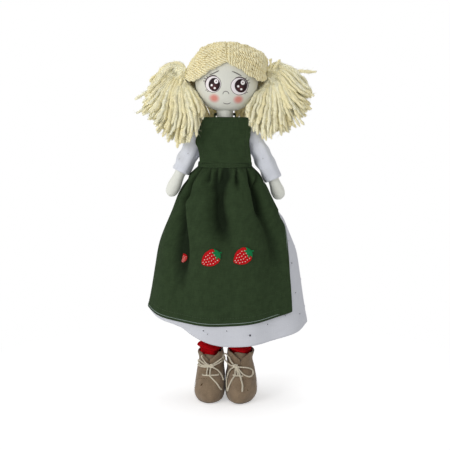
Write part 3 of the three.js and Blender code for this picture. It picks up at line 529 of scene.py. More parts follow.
def threads(paths, radii, section=ROUND, pitch=None, tones=0.5):
    """Sweeps a section along many routes [thread, point] at once, turning once in each pitch."""
    paths = np.asarray(paths, float)
    if paths.ndim == 2:
        paths = paths[None]
    count, steps = paths.shape[:2]
    radii = np.broadcast_to(np.asarray(radii, float), (count, steps))
    way = unit(np.gradient(paths, axis=1))
    upright = np.abs(way[:, :1, 2]) > 0.9
    side = np.cross(way[:, 0], np.where(upright, [1.0, 0, 0], [0, 0, 1.0]))
    sides = np.empty_like(paths)
    for k in range(steps):
        side = unit(side - np.einsum("ij,ij->i", side, way[:, k])[:, None] * way[:, k])
        sides[:, k] = side
    other = np.cross(way, sides)
    far = np.concatenate([np.zeros((count, 1)), np.linalg.norm(np.diff(paths, axis=1), axis=2).cumsum(1)], 1)
    turn = np.radians([angle for angle, _ in section])[None, None, :]
    if pitch:
        turn = turn + (TURN / pitch) * far[..., None]
    reach = radii[..., None] * np.array([share for _, share in section])
    ring = (paths[:, :, None] + (reach * np.cos(turn))[..., None] * sides[:, :, None]
            + (reach * np.sin(turn))[..., None] * other[:, :, None])
    around = len(section)
    quads, places = grid_faces(steps, around, wrap_columns=True)
    quads, places = quads[:, ::-1], places[:, ::-1]
    size = steps * around
    starts = np.arange(count)[:, None, None] * (size + 2)
    ends = end_fans(size, around)[:, [0, 2, 1]]
    bulge = way * radii[..., None] * 0.4
    tips = np.stack([paths[:, 0] - bulge[:, 0], paths[:, -1] + bulge[:, -1]], 1)
    points = np.concatenate([ring.reshape(count, size, 3), tips], 1).reshape(-1, 3)
    u = np.broadcast_to(places[None, ..., 0] / around, (count,) + places.shape[:2])
    spots = np.stack([u * 10.0, far[:, places[..., 1]]], -1).reshape(-1, 4, 2)
    # How deep each point lies between the plies, which the yarn materials use to paint shade into the
    # grooves.
    groove = [1 - share for _, share in section] * steps + [0, 0]
    tint = np.stack([np.repeat(np.broadcast_to(tones, count), size + 2), np.tile(groove, count)], 1)
    faces = [(quads[None] + starts).reshape(-1, 4), (ends[None] + starts).reshape(-1, 3)]
    return points, faces, [spots, np.zeros((count * len(ends), 3, 2))], tint


print("9 mm of yarn has", len(threads(smooth_route([(0, 0, 0), (9, 0, 0)], 9), 1.0, PLIED, 7)[0]), "points")

# %% [markdown]
# ## Shared surface effects
#
# Three effects turn up in many of the doll's materials, so each is a node group, built once. The
# weave is a plain weave with slubs, for calico, dress cotton and pinafore linen. The fuzz is a
# speckle of short fibres at two sizes, for felt, yarn and knitting. The soft patch is a round mask
# with a blurred edge, for the blush on the cheeks and the glow in the eyes. Groups put out only
# colours, heights and masks, and the shader stays in each material.

# %% Group builder
ORIGIN = (0.0, 0.0, 0.0)
SURFACE_INPUTS = [("Place", ORIGIN), ("Colour", WHITE)]
SURFACE_OUTPUTS = [("Colour", "Color"), ("Height", "Float")]


def new_group(name, inputs, outputs):
    """An empty node group with named sockets. Gives the group, its nodes, and both its ends."""
    group = bpy.data.node_groups.new(name, "ShaderNodeTree")
    for label, value in inputs:
        kind = "NodeSocketFloat"
        if isinstance(value, tuple):
            kind = "NodeSocketColor" if len(value) == 4 else "NodeSocketVector"
        socket = group.interface.new_socket(name=label, in_out="INPUT", socket_type=kind)
        socket.default_value = value
    for label, kind in outputs:
        group.interface.new_socket(name=label, in_out="OUTPUT", socket_type="NodeSocket" + kind)
    given = group.nodes.new("NodeGroupInput").outputs
    gives = group.nodes.new("NodeGroupOutput").inputs
    return group, Nodes(group), given, gives


# %% The weave
def make_weave():
    """A plain weave over places in millimetres: threads pass over and under each other by turns."""
    group, n, given, gives = new_group(
        "plain_weave",
        SURFACE_INPUTS + [("Pitch", 0.6), ("Gaps", 0.3), ("Slubs", 0.2), ("Mottle", 0.1)], SURFACE_OUTPUTS,
    )
    cells = n.add("SeparateXYZ", n.scaled(given["Place"], n.math("DIVIDE", 1.0, given["Pitch"]))).outputs
    ridges = []
    for across, onward, sign in ((0, 1, 1.0), (1, 0, -1.0)):
        thread = n.math("ABSOLUTE", n.math("SINE", n.times(cells[across], math.pi)))
        turn = n.plus(n.minus(cells[onward], 0.5), n.math("FLOOR", cells[across]))
        over = n.times(n.math("COSINE", n.times(turn, math.pi)), 0.5 * sign)
        ridges.append(n.times(thread, n.plus(over, 0.5)))
    height = n.math("MAXIMUM", *ridges)
    slubs = [n.noise(n.vector("MULTIPLY", given["Place"], stretch), 1.3, 3.0)
             for stretch in ((1.0, 0.06, 1.0), (0.06, 1.0, 1.0))]
    slub = n.minus(n.plus(*slubs), 1.0)
    mottle = n.minus(n.noise(given["Place"], 0.09, 3.0), 0.5)
    # Painted shade: the colour is darker where the threads dip, by the gap shade. Slubs and mottle are the
    # cloth's own tone.
    light = n.times(n.minus(height, 0.75), given["Gaps"])
    light = n.plus(light, n.times(slub, given["Slubs"]))
    light = n.plus(light, n.times(mottle, given["Mottle"]))
    n.put(n.scaled(given["Colour"], n.plus(light, 1.0)), gives["Colour"])
    n.put(n.plus(height, n.times(slub, 0.8)), gives["Height"])
    return group


weave = make_weave()
print("the weave group has", len(weave.nodes), "nodes")


# %% The fuzz and the soft patch
def make_fuzz():
    """Short fibres and clumps: a fine and a coarse speckle over places in millimetres."""
    group, n, given, gives = new_group(
        "fibre_fuzz",
        SURFACE_INPUTS + [("Size", 1.0), ("Speckle", 0.3), ("Clumps", 0.2)], SURFACE_OUTPUTS,
    )
    place = n.scaled(given["Place"], n.math("DIVIDE", 1.0, given["Size"]))
    fine = n.minus(n.noise(place, 1.0, 4.0), 0.5)
    coarse = n.minus(n.noise(place, 0.13, 2.0), 0.5)
    light = n.plus(n.times(fine, given["Speckle"]), n.times(coarse, given["Clumps"]))
    n.put(n.scaled(given["Colour"], n.plus(light, 1.0)), gives["Colour"])
    n.put(n.plus(fine, n.times(coarse, 0.6)), gives["Height"])
    return group


def make_soft_patch():
    """A round patch that fades at its edge, at a centre and with a radius each way, in millimetres."""
    group, n, given, gives = new_group(
        "soft_patch",
        [("Place", ORIGIN), ("Centre", ORIGIN), ("Stretch", (1.0, 1.0, 1.0)), ("Core", 0.35)],
        [("Mask", "Float")],
    )
    off = n.vector("MULTIPLY", n.vector("SUBTRACT", given["Place"], given["Centre"]), given["Stretch"])
    fade = n.add("MapRange", n.length(off), given["Core"], 1.0, 1.0, 0.0, interpolation_type="SMOOTHSTEP")
    n.put(fade.outputs[0], gives["Mask"])
    return group


fuzz = make_fuzz()
soft_patch = make_soft_patch()
print("groups:", [group.name for group in (weave, fuzz, soft_patch)])

# %% [markdown]
# ## Materials
#
# Colours are written as they look on the real doll, except where a material paints light or shade,
# which is said where it is made. Cloth and yarn read the flat-cloth places, so their threads run
# with the piece. Felt, thread and paint use the object's own places, as their fibres have no
# direction. Soft fibres catch light at grazing angles, which is the shader's sheen.

# %% Plain helpers for materials
def colour(red, green, blue):
    """A colour given as on screen, from 0 to 255, as the shader wants it."""
    def linear(value):
        share = value / 255
        return share / 12.92 if share <= 0.04045 else ((share + 0.055) / 1.055) ** 2.4
    return (linear(red), linear(green), linear(blue), 1.0)


def new_material(name, roughness, sheen=0.0, sheen_tint=WHITE):
    """A material with a plain shader. Gives the material, its nodes and the shader's inputs."""
    material = bpy.data.materials.new(name)
    material.use_nodes = True
    material.node_tree.nodes.clear()
    n = Nodes(material.node_tree)
    shader = n.add("BsdfPrincipled")
    for label, value in (("Roughness", roughness), ("Specular IOR Level", 0.08), ("Sheen Weight", sheen),
                         ("Sheen Tint", sheen_tint)):
        shader.inputs[label].default_value = value
    n.add("OutputMaterial", shader.outputs[0])
    return material, n, shader.inputs


def cover(n, shader, paint, height, depth):
    """Gives a surface its colour, and lets a height of about 0 to 1 lift it by a depth in millimetres."""
    n.put(paint, shader["Base Color"])
    node = n.add("Bump")
    node.inputs["Strength"].default_value = 1.0
    node.inputs["Distance"].default_value = depth * MM
    n.put(height, node.inputs["Height"])
    n.put(node.outputs[0], shader["Normal"])


def cloth_place(n):
    return n.add("UVMap", uv_map="cloth").outputs[0]


def own_place(n):
    return n.scaled(n.add("TexCoord").outputs["Object"], 1 / MM)


def tints(n):
    return n.add("SeparateColor", n.add("Attribute", attribute_name="tint").outputs["Color"]).outputs


# %% Cloth materials
def threads_in(n, paint, pitch, gap_shade, slubs, mottle):
    """The colour and the height of woven cloth."""
    return n.use(weave, Place=cloth_place(n), Colour=paint, Pitch=pitch, Gaps=gap_shade, Slubs=slubs,
                 Mottle=mottle)


def woven_material(name, paint, weaving, depth, roughness=0.9, sheen=0.05, fold_shade_paint=None):
    """Cloth in a paint. Where it has a fold shade paint, that paints shade into the depth of its folds."""
    material, n, shader = new_material(name, roughness, sheen)
    if fold_shade_paint:
        # Painted shade: the tint's first channel is how deep in a fold a point lies.
        paint = n.mix(n.spread(tints(n)[0], 0.5, 1.15, 0.0, 0.75), paint, fold_shade_paint)
    cover(n, shader, *threads_in(n, paint, *weaving), depth)
    return material


# The body's calico is a lighter copy of the face's calico, which paints light on the hands.
calico = woven_material("calico", colour(240, 241, 232), (0.5, 0.10, 0.10, 0.06), 0.06)
cotton = woven_material("dress_cotton", colour(215, 217, 224), (0.45, 0.10, 0.10, 0.05), 0.06)
# The sleeves are the dress's cotton in a lighter copy, which paints light on them.
lit_sleeve_cotton = woven_material("lit_sleeve_cotton", colour(227, 230, 238), (0.45, 0.12, 0.14, 0.08), 0.08)
# The linen paints shade into the apron's folds with a darker green.
linen = woven_material("pinafore_linen", colour(53, 69, 45), (0.62, 0.45, 0.5, 0.5), 0.14, 0.95, 0.0,
                       fold_shade_paint=colour(24, 32, 22))
print("woven materials:", calico.name, cotton.name, linen.name)


def dab(n, centre, reach, core):
    """The mask of a soft patch that reaches so far each way from its centre."""
    stretch = tuple(1 / far for far in reach)
    return n.use(soft_patch, Place=own_place(n), Centre=centre, Stretch=stretch, Core=core)[0]


def face_material(cheeks):
    """Calico with a dab of blush on each cheek: cheeks are (centre, radius across, radius up)."""
    material, n, shader = new_material("face_calico", 0.8, 0.15)
    paint, height = threads_in(n, colour(226, 226, 216), 0.5, 0.08, 0.08, 0.04)
    speckle = n.spread(n.noise(own_place(n), 1.6, 3.0), 0.3, 0.7, 0.75, 1.0)
    for centre, across, up in cheeks:
        mask = dab(n, centre, (across, 14.0, up), 0.25)
        paint = n.mix(n.times(mask, speckle), paint, colour(226, 132, 119))
    cover(n, shader, paint, height, 0.05)
    return material


# %% Felt, yarn and knitting
def fibres_in(n, place, paint, size, speckle, clumps):
    """The colour and the height of fuzzy cloth or yarn."""
    return n.use(fuzz, Place=place, Colour=paint, Size=size, Speckle=speckle, Clumps=clumps)


def fuzzy_material(name, paint, size, speckle, clumps, depth, roughness=0.95, sheen=0.3):
    material, n, shader = new_material(name, roughness, sheen)
    cover(n, shader, *fibres_in(n, own_place(n), paint, size, speckle, clumps), depth)
    return material


def yarn_material(name, pale, deep, groove_shade_paint):
    """Plied yarn: each strand has its own tone, and the grooves between plies get painted shade."""
    material, n, shader = new_material(name, 0.9, 0.35, (1.0, 0.96, 0.84, 1.0))
    tone, groove = tints(n)[:2]
    paint = n.mix(n.spread(groove, 0.04, 0.36, 0.0, 0.75), n.mix(tone, deep, pale), groove_shade_paint)
    fibre_place = n.vector("MULTIPLY", cloth_place(n), (1.0, 0.55, 1.0))
    cover(n, shader, *fibres_in(n, fibre_place, paint, 0.9, 0.4, 0.35), 0.3)
    return material


felt = fuzzy_material("boot_felt", colour(138, 119, 97), 1.1, 0.55, 0.6, 0.25)
sole_felt = fuzzy_material("sole_felt", colour(112, 95, 76), 1.3, 0.5, 0.5, 0.25)
# The cap and the pigtails are one yarn in two copies: the cap's darker copy paints shade on it, and the
# pigtails' paler one paints light into their shaded gaps.
yarn = yarn_material("yarn", colour(255, 254, 230), colour(255, 246, 202), colour(240, 218, 150))
shaded_cap_yarn = yarn_material("shaded_cap_yarn", colour(250, 243, 206), colour(243, 231, 184), colour(214, 190, 128))
# A darker sheet under the cap's rows paints the shade in the gaps between them.
yarn_shadow = fuzzy_material("yarn_shade_backing", colour(200, 172, 112), 0.9, 0.5, 0.4, 0.2)
cord = yarn_material("lace_cord", colour(232, 225, 206), colour(220, 210, 188), colour(176, 162, 138))
print("fuzzy materials:", felt.name, sole_felt.name, yarn.name, cord.name)


def knit_material():
    """Ribbed knitting: columns of small leaning stitches, read from the flat-cloth places, with painted shade
    where they dip.
    """
    material, n, shader = new_material("sock_knit", 0.95)
    across, up = n.add("SeparateXYZ", cloth_place(n)).outputs[:2]
    wale = n.math("PINGPONG", across, 0.65)
    lean = n.minus(up, n.times(wale, 1.2))
    stitch = n.math("SINE", n.times(lean, TURN / 1.1))
    height = n.plus(n.times(wale, 0.9), n.times(stitch, 0.3))
    # Painted shade: the red is darker where the knitting dips between ribs and stitches.
    shade = n.mix(n.spread(height, -0.2, 0.7), colour(96, 4, 12), colour(222, 10, 20))
    cover(n, shader, fibres_in(n, own_place(n), shade, 0.9, 0.35, 0.35)[0], height, 0.25)
    return material


knit = knit_material()


def thread_material(name, paint, roughness=0.55):
    """Embroidery and sewing thread: smooth, a little shiny, with its strands just showing."""
    return fuzzy_material(name, paint, 0.35, 0.35, 0.25, 0.06, roughness, 0.0)


red_thread = thread_material("red_thread", colour(196, 22, 28))
green_thread = thread_material("green_thread", colour(24, 122, 70))
white_thread = thread_material("white_thread", colour(244, 226, 214))
cotton_thread = thread_material("cotton_thread", colour(222, 224, 230), 0.7)
linen_thread = thread_material("linen_thread", colour(74, 88, 66), 0.7)
tape_thread = thread_material("edge_tape", colour(150, 164, 158), 0.8)
brown_thread = thread_material("brown_thread", colour(66, 42, 24), 0.8)
eyelet_shade = thread_material("eyelet_shade", colour(44, 44, 58), 0.9)


def paint_material(name, paint, roughness=0.5):
    """Fabric paint: smooth, with a trace of the cloth's fibres."""
    return fuzzy_material(name, paint, 0.5, 0.12, 0.1, 0.03, roughness, 0.0)


eye_white = paint_material("eye_white", colour(243, 236, 238))
eye_line = paint_material("eye_line", colour(84, 72, 76))
face_line = paint_material("face_line", colour(112, 108, 104))
eye_spark = paint_material("eye_spark", colour(252, 248, 248), 0.3)
eye_spark_dot = paint_material("eye_spark_dot", colour(150, 128, 136), 0.4)
print("paints and threads:", len(bpy.data.materials), "materials in all")


def iris_material(centres):
    """Dark brown paint with a deeper rim and a warmer, lighter lower part, as one radial blend."""
    material, n, shader = new_material("iris_brown", 0.35)
    paint = colour(44, 28, 32)
    for x, y, z in centres:
        glow = dab(n, (x - 1.0, y, z - 2.6), (6.0, 12.0, 5.6), 0.1)
        paint = n.mix(n.times(glow, 0.75), paint, colour(98, 60, 62))
    n.put(fibres_in(n, own_place(n), paint, 0.7, 0.5, 0.2)[0], shader["Base Color"])
    return material


# %% [markdown]
# ## The paper under the doll
#
# A pale sheet catches the doll's soft shadow.
# To the camera it is close to white, and it fades into the white of the world further out.

# %% The floor
PAPER_LIFT = 0.42
PAPER_FADE = (0.12, 0.4)


def make_floor():
    material = bpy.data.materials.new("paper")
    material.use_nodes = True
    material.node_tree.nodes.clear()
    n = Nodes(material.node_tree)
    place = n.add("TexCoord").outputs["Object"]
    shader = n.add("BsdfPrincipled")
    grain = n.spread(n.noise(place, 20.0, 3.0), 0.3, 0.7)
    n.put(n.mix(grain, (0.93, 0.93, 0.93, 1.0), (0.96, 0.96, 0.96, 1.0)), shader.inputs["Base Color"])
    seen = n.seen()
    for label, value in (("Roughness", 0.9), ("Specular IOR Level", 0.0), ("Emission Color", WHITE),
                         ("Emission Strength", n.times(seen, PAPER_LIFT))):
        n.put(value, shader.inputs[label])
    away = n.times(n.spread(n.length(place), *PAPER_FADE), seen)
    blend = n.add("MixShader", away, shader.outputs[0], n.add("Emission", WHITE, 1.0).outputs[0])
    n.add("OutputMaterial", blend.outputs[0])
    bpy.ops.mesh.primitive_grid_add(x_subdivisions=8, y_subdivisions=8, size=12, location=(0, 0, -0.0004))
    floor = bpy.context.object
    floor.name = "paper_floor"
    floor.data.materials.append(material)


make_floor()
print("the paper is in place")

# %% [markdown]
# ## Head
#
# The head is a firmly stuffed ball of calico, a little square at the cheeks. One formula gives its
# surface, so everything drawn on the face can be laid exactly on it: `face_point` takes a place
# seen from the front and gives the point on the skin. Blush is dabbed on in the material. Eyes,
# brows and mouth are fabric paint with a real thickness, so they stay crisp close by.

# %% The head's surface
HEAD_MIDDLE = np.array([2.0, 0.0, 404.0])
HEAD_HALF = np.array([39.0, 35.0, 39.0])
HEAD_SQUARENESS = 2.3
CHEEKS = [((-13.2, -27.5, 381.2), 8.6, 7.4), ((16.4, -26.5, 379.6), 8.4, 7.2)]
NECK_RADIUS = 10.5


def head_point(angle, tilt):
    """A point on the head from an angle round it and a tilt up from level, in radians."""
    lift = spow(np.sin(tilt), 2 / HEAD_SQUARENESS)
    spread = np.maximum(np.cos(tilt), 0) ** (2 / HEAD_SQUARENESS)
    return points_at(spread * np.sin(angle), -spread * np.cos(angle), lift) * HEAD_HALF + HEAD_MIDDLE


def face_point(x, z, lift=0.0):
    """The point of the face at a place seen from the front, lifted off the skin."""
    half = HEAD_HALF + lift
    off_x, off_z = np.asarray(x, float) - HEAD_MIDDLE[0], np.asarray(z, float) - HEAD_MIDDLE[2]
    level = np.maximum(1 - np.abs(off_z / half[2]) ** HEAD_SQUARENESS, 0) ** (2 / HEAD_SQUARENESS)
    y = -half[1] * np.sqrt(np.maximum(level - (off_x / half[0]) ** 2, 0))
    return points_at(x, y, z)


HEAD_FLAT = (245, 122)
tilts = np.linspace(-math.pi / 2, math.pi / 2, 74)[1:-1]
head_skin = stuffed(head_point(round_angles(112)[None, :], tilts[:, None]), *HEAD_FLAT)
head = new_piece("stuffed_head", head_skin, face_material(CHEEKS), "body", "skin_cloth", "head")
print("the chin is at", HEAD_MIDDLE[2] - HEAD_HALF[2], "mm")


# %% Paint on the face
def painted_patch(outline, lift):
    """A thin domed patch of paint over an outline of face places (x, z)."""
    outline = np.array(outline, float)
    middle = outline.mean(0)
    rings = []
    flat_top = [(share, lift) for share in (0.96, 0.75, 0.45, 0.15)]
    for share, raised in [(1.0, -0.3), (1.0, lift * 0.4)] + flat_top:
        place = middle + (outline - middle) * share
        rings.append(face_point(place[:, 0], place[:, 1], raised))
    return stuffed(np.array(rings), 1, 1)


def oval(x, z, half_width, half_height):
    angle = round_angles(56)
    return np.stack([x + half_width * np.cos(angle), z + half_height * np.sin(angle)], 1)


def painted_line(places, width, lift=0.05, taper=0.25):
    """A line of paint through face places, thinner towards both its ends."""
    flat = smooth_route([(x, 0, z) for x, z in places], 26)
    path = face_point(flat[:, 0], flat[:, 2], lift)
    share = np.linspace(-1, 1, len(path))
    radii = width / 2 * (taper + (1 - taper) * np.sqrt(1 - np.abs(share) ** 3))
    return threads(path, radii, [(k * 45, 1.0) for k in range(8)])


def paint(name, parts, material):
    new_piece(name, joined(*parts), material, "body", "skin_cloth")


# %% Eyes
EYES = {
    "right": dict(side=-1, white=(-14.3, 398.1, 9.2, 9.5), iris=(-12.8, 397.6, 7.0, 8.1)),
    "left": dict(side=1, white=(17.4, 395.6, 10.1, 10.1), iris=(19.3, 396.2, 7.7, 8.2)),
}
SPARKS = [(2.2, 3.8, 2.6, 2.8), (-3.3, -0.7, 1.35, 1.4), (0.4, -4.2, 1.4, 1.2)]
LASHES = [(22, 3.9, 0.6, 0.12), (40, 4.3, 1.5, 0.3), (58, 3.4, 1.6, 0.32), (-42, 2.6, -0.4, -0.5),
          (-55, 1.9, -0.4, -0.5)]


def lashes(side, x, z, wide, high):
    """The lid's line, with three lashes at its outer end and two short ones below the eye."""
    def rim(angle, out, up):
        t = math.radians(angle)
        return x + side * (wide + out) * math.cos(t), z + (high + up) * math.sin(t)

    lines = [painted_line([rim(angle, 0.5, 0.6) for angle in np.linspace(-8, 118, 9)], 1.5)]
    for angle, reach, rise, half_rise in LASHES:
        below = 0.3 * (angle < 0)
        start_x, start_z = rim(angle, below, below)
        steps = [(0, 0), (reach * 0.5, half_rise), (reach, rise)]
        keys = [(start_x + side * a, start_z + b) for a, b in steps]
        lines.append(painted_line(keys, 0.7 if below else 0.75))
    return lines


def make_eyes():
    iris_places = [face_point(*eye["iris"][:2]) for eye in EYES.values()]
    iris_paint = iris_material([tuple(float(v) for v in place) for place in iris_places])
    for name, eye in EYES.items():
        x, z, wide, high = eye["white"]
        ix, iz = eye["iris"][:2]
        paint(f"eye_outline_{name}", [painted_patch(oval(x, z, wide + 0.55, high + 0.55), 0.06)], eye_line)
        paint(f"eye_white_{name}", [painted_patch(oval(x, z, wide, high), 0.12)], eye_white)
        paint(f"iris_{name}", [painted_patch(oval(*eye["iris"]), 0.2)], iris_paint)
        sparks = [painted_patch(oval(ix + across, iz + up, *half), 0.28) for across, up, *half in SPARKS]
        paint(f"eye_sparks_{name}", sparks, eye_spark)
        dot = painted_patch(oval(ix + 2.2, iz + 3.8, 0.9, 1.0), 0.34)
        paint(f"eye_spark_dot_{name}", [dot], eye_spark_dot)
        paint(f"eye_lashes_{name}", lashes(eye["side"], *eye["white"]), eye_line)


make_eyes()
print("eyes:", list(EYES))


# %% Brows, nose and smile
FACE_LINES = {
    "brows": (1.25, 0.3, [[(-18.8, 409.0), (-13.4, 411.2), (-7.1, 414.2)],
                          [(8.3, 413.5), (13.9, 411.0), (20.0, 407.7)]]),
    "nose_line": (0.8, 0.25, [[(-2.8, 385.9), (-1.6, 388.6), (1.0, 389.6), (3.6, 388.6), (4.9, 385.9)]]),
    "smile_line": (0.95, 0.25, [[(-2.3, 375.9), (0.1, 374.8), (2.4, 374.5), (4.7, 374.9), (6.6, 376.1)]]),
}
for line_name, (line_width, line_taper, face_routes) in FACE_LINES.items():
    paint(line_name, [painted_line(route, line_width, taper=line_taper) for route in face_routes], face_line)
print("the face is drawn")

# %% [markdown]
# ## Torso
#
# Under the dress the doll is a stuffed calico body with its neck. Only the neck shows, but the body
# is there when the doll is undressed or looked at from below.

# %% The torso's curves
WAIST, SHOULDER, HIP = 296.0, 336.0, 240.0
SHOULDER_HALF_WIDTH = 24.0
NECK_BASE, NECK_TOP = 355.0, 374.0
NECK_KEYS = [(NECK_BASE, NECK_RADIUS), (NECK_TOP, NECK_RADIUS)]
torso_half_width = through([(HIP, 37), (WAIST, 30.5), (318, 29.5), (347, 29.5)] + NECK_KEYS)
torso_half_depth = through([(HIP, 23), (WAIST, 21), (318, 17), (347, 17)] + NECK_KEYS)
torso_squareness = through([(SHOULDER, 2.6), (NECK_BASE, 2)])


def torso_rings(z, outset, count):
    """Level rings round the torso at heights z. From the armpits up, the sides are cut straight."""
    z = np.asarray(z, float)
    wide, deep = torso_half_width(z) + outset, torso_half_depth(z) + outset
    rings = level_rings(wide, deep, 0, 0, z, torso_squareness(z), count)
    limit = through([(303, 30.5), (316, SHOULDER_HALF_WIDTH)])(z) + 9 * (z < 303) + outset
    limit = limit[:, None]
    rings[..., 0] = np.clip(rings[..., 0], -limit, limit)
    return rings


torso_rows = np.concatenate([np.linspace(HIP + 1, 345, 40), np.linspace(346, 368, 14)])
torso_form = torso_rings(torso_rows, 0, 64)
torso_form[..., :2] += (waviness(torso_form, 26, 5) * 0.35)[..., None]
thigh_notches = np.cos(torso_form[..., 0] / 37 * math.pi / 2) * 12
torso_form[..., 2] += np.exp(-((torso_rows[:, None] - HIP) / 9) ** 2) * thigh_notches
torso = new_piece("stuffed_torso", stuffed(torso_form, 190, 130), calico, "body", "skin_cloth", "torso")
print("the neck reaches", NECK_TOP, "mm")

# %% [markdown]
# ## Arms and hands
#
# Each arm is one stuffed tube that ends in a mitten. Arm and sleeve follow the same route, which
# starts square on the shoulder, so both can turn there without tearing. A seam runs round the edge
# of the mitten, where the two halves of calico meet.

# %% Arms
ARM_RADIUS, WRIST_RADIUS, HAND_HALF_WIDTH, HAND_THICKNESS = 9.2, 6.6, 8.4, 0.78
ARMS = {"left": (1, (36, 54.5), (46, 81)), "right": (-1, (31, 45), (46, 77))}
hand_width = through([
    (0, WRIST_RADIUS * 1.15), (0.12, WRIST_RADIUS), (0.25, WRIST_RADIUS * 1.05), (0.6, HAND_HALF_WIDTH),
    (0.84, HAND_HALF_WIDTH * 0.86), (0.94, HAND_HALF_WIDTH * 0.58), (1, HAND_HALF_WIDTH * 0.12),
])
hand_flatness = through([(0, 1), (0.2, 1), (0.6, HAND_THICKNESS), (1, HAND_THICKNESS)])


def arm_route(name):
    """The side of an arm, its route, and the share of the route at which the sleeve ends."""
    side, cuff, hand = ARMS[name]
    bend = ARM_RADIUS * 0.7
    keys = [(0.3, 0), (0.3 + bend, bend * 0.2), (0.3 + bend * 1.9, bend * 1.15), cuff, hand]
    places = [(side * (SHOULDER_HALF_WIDTH + out), 0, SHOULDER - fall) for out, fall in keys]
    route = smooth_route(places, 200)
    return side, route, float(np.argmax(route[:, 2] <= SHOULDER - cuff[1])) / (len(route) - 1)


def limb_rings(route, shares, in_plane, out_of_plane, count):
    """Rings square to a route in the plane of the arms, at shares of its length."""
    places = np.asarray(shares) * (len(route) - 1)

    def along_it(values):
        return np.stack([np.interp(places, np.arange(len(route)), values[:, k]) for k in range(3)], 1)

    square = np.clip(1 - np.asarray(shares) / 0.06, 0, 1)[:, None]
    way = between(unit(along_it(np.gradient(route, axis=0))), [np.sign(route[-1, 0]), 0, 0], square)
    side = unit(np.cross([0, 1.0, 0], way))
    angle = round_angles(count)[None, :, None]
    wide, deep = (np.broadcast_to(v, places.shape)[:, None, None] for v in (in_plane, out_of_plane))
    across = wide * np.cos(angle) * side[:, None]
    return along_it(route)[:, None] + across + deep * np.sin(angle) * [0, 1.0, 0]


def make_arm(name):
    side, route, cuff = arm_route(name)
    upper = np.linspace(0, cuff, 22, endpoint=False)
    lower = evenly(30)
    shares = np.concatenate([upper, cuff + (1 - cuff) * lower])
    wide = np.concatenate([between(ARM_RADIUS, WRIST_RADIUS * 1.15, (upper / cuff) ** 2), hand_width(lower)])
    deep = np.concatenate([wide[:22], hand_width(lower) * hand_flatness(lower)])
    rings = limb_rings(route, shares, wide, deep, 40)
    rings += (waviness(rings, 14, 11 + side) * 0.22)[..., None] * np.array([0.4, 1, 0.4])
    body = f"arm_{name}"
    arm = new_piece(f"stuffed_arm_{name}", stuffed(rings, 50, 95), calico, body, "skin_cloth", body)
    seam = resample(np.concatenate([rings[24:-1, 20], rings[-2:24:-1, 0]]), 120)
    new_piece(f"hand_seam_{name}", threads(seam, 0.22), calico, body, "skin_cloth")


for arm_name in ARMS:
    make_arm(arm_name)
print("arms:", list(ARMS))

# %% [markdown]
# ## Sleeves
#
# The sleeves are soft cotton, nearly straight, with a narrow hem. Cloth on a bent limb makes
# creases that run along it and a few that cross it. They are pushed into the rings as shallow
# waves, and those that cross it are on one side only.

# %% Sleeves
DRESS_THICKNESS = 1.0
SLEEVE_START_GAP, SLEEVE_CUFF = 9.8, 11.4
SLEEVE_FLAT = (72, 62)


def make_sleeve(name):
    side, route, cuff = arm_route(name)
    down = evenly(54)
    shares = between(0.012, cuff, down)
    radius = between(SLEEVE_START_GAP, SLEEVE_CUFF - DRESS_THICKNESS, down) + 0.5
    radius = radius + 0.1 * np.sin(math.pi * down) ** 0.7
    rings = limb_rings(route, shares, radius, radius, 72)
    way = unit(rings - rings.mean(1, keepdims=True))
    around, down = round_angles(72)[None, :], down[:, None]
    lengthwise = np.sin(around * 3 + 1.3 * side + 2.2 * down) * 0.5 + np.sin(around * 5 - 1.7 * down + 0.6)
    crosswise = np.sin(down * 19 + 2.1 * np.sin(around + 0.7) + side) * np.clip(np.cos(around), 0, 1)
    rough = waviness(rings, 9, 31 + side)
    fade = np.sin(math.pi * np.clip(down, 0.02, 0.98)) ** 0.5
    crease = np.maximum(0.8 * lengthwise + 1.1 * crosswise + 0.8 * rough + 0.35, -0.75)
    rings = rings + way * (crease * fade)[..., None]
    parts = cloth(rings, np.where(down > 0.93, 1.35, 0.95), SLEEVE_FLAT, closed=True)
    sleeve = new_piece(f"cotton_sleeve_{name}", parts, lit_sleeve_cotton, f"arm_{name}", "dress_cotton",
                       f"sleeve_{name}")
    return rings, way


SLEEVE_RINGS = {name: make_sleeve(name) for name in ARMS}
print("sleeves are", round(sheet_area(SLEEVE_RINGS["left"][0], True) * 1e4, 1), "square cm each")


# %% Stitches
def stitches(path, length=2.2, gap=1.1, radius=0.2):
    """Short separate stitches along a path, each rising from the cloth and going back in."""
    far = along(path)
    starts = np.arange(gap, far[-1] - length, length + gap)
    if not len(starts):
        return None
    share = evenly(5)
    places = starts[:, None] + share[None, :] * length
    routes = np.stack([np.interp(places, far, path[:, k]) for k in range(3)], 2)
    radii = radius * np.array([0.55, 1, 1.05, 1, 0.55])
    return threads(routes, radii, ROUND)


def sewn(name, paths, material, body, slot, length=2.2, gap=1.1, radius=0.2):
    parts = [stitches(path, length, gap, radius) for path in paths]
    return new_piece(name, joined(*[part for part in parts if part]), material, body, slot)


for arm_name, (sleeve_rings, sleeve_way) in SLEEVE_RINGS.items():
    hem_row = loop(sleeve_rings[48] + sleeve_way[48] * 0.6)
    sewn(f"sleeve_hem_stitches_{arm_name}", [hem_row], cotton_thread, f"arm_{arm_name}", "dress_cotton",
         1.6, 0.9, 0.16)

# %% [markdown]
# ## Bodice
#
# The bodice is a close cotton shell with a neckline, and an armhole on each side where a sleeve is
# set in. The side is cut straight there, so the sleeve's round end sits flat against it and turns.

# %% Bodice
BODICE_TOP = 352.0


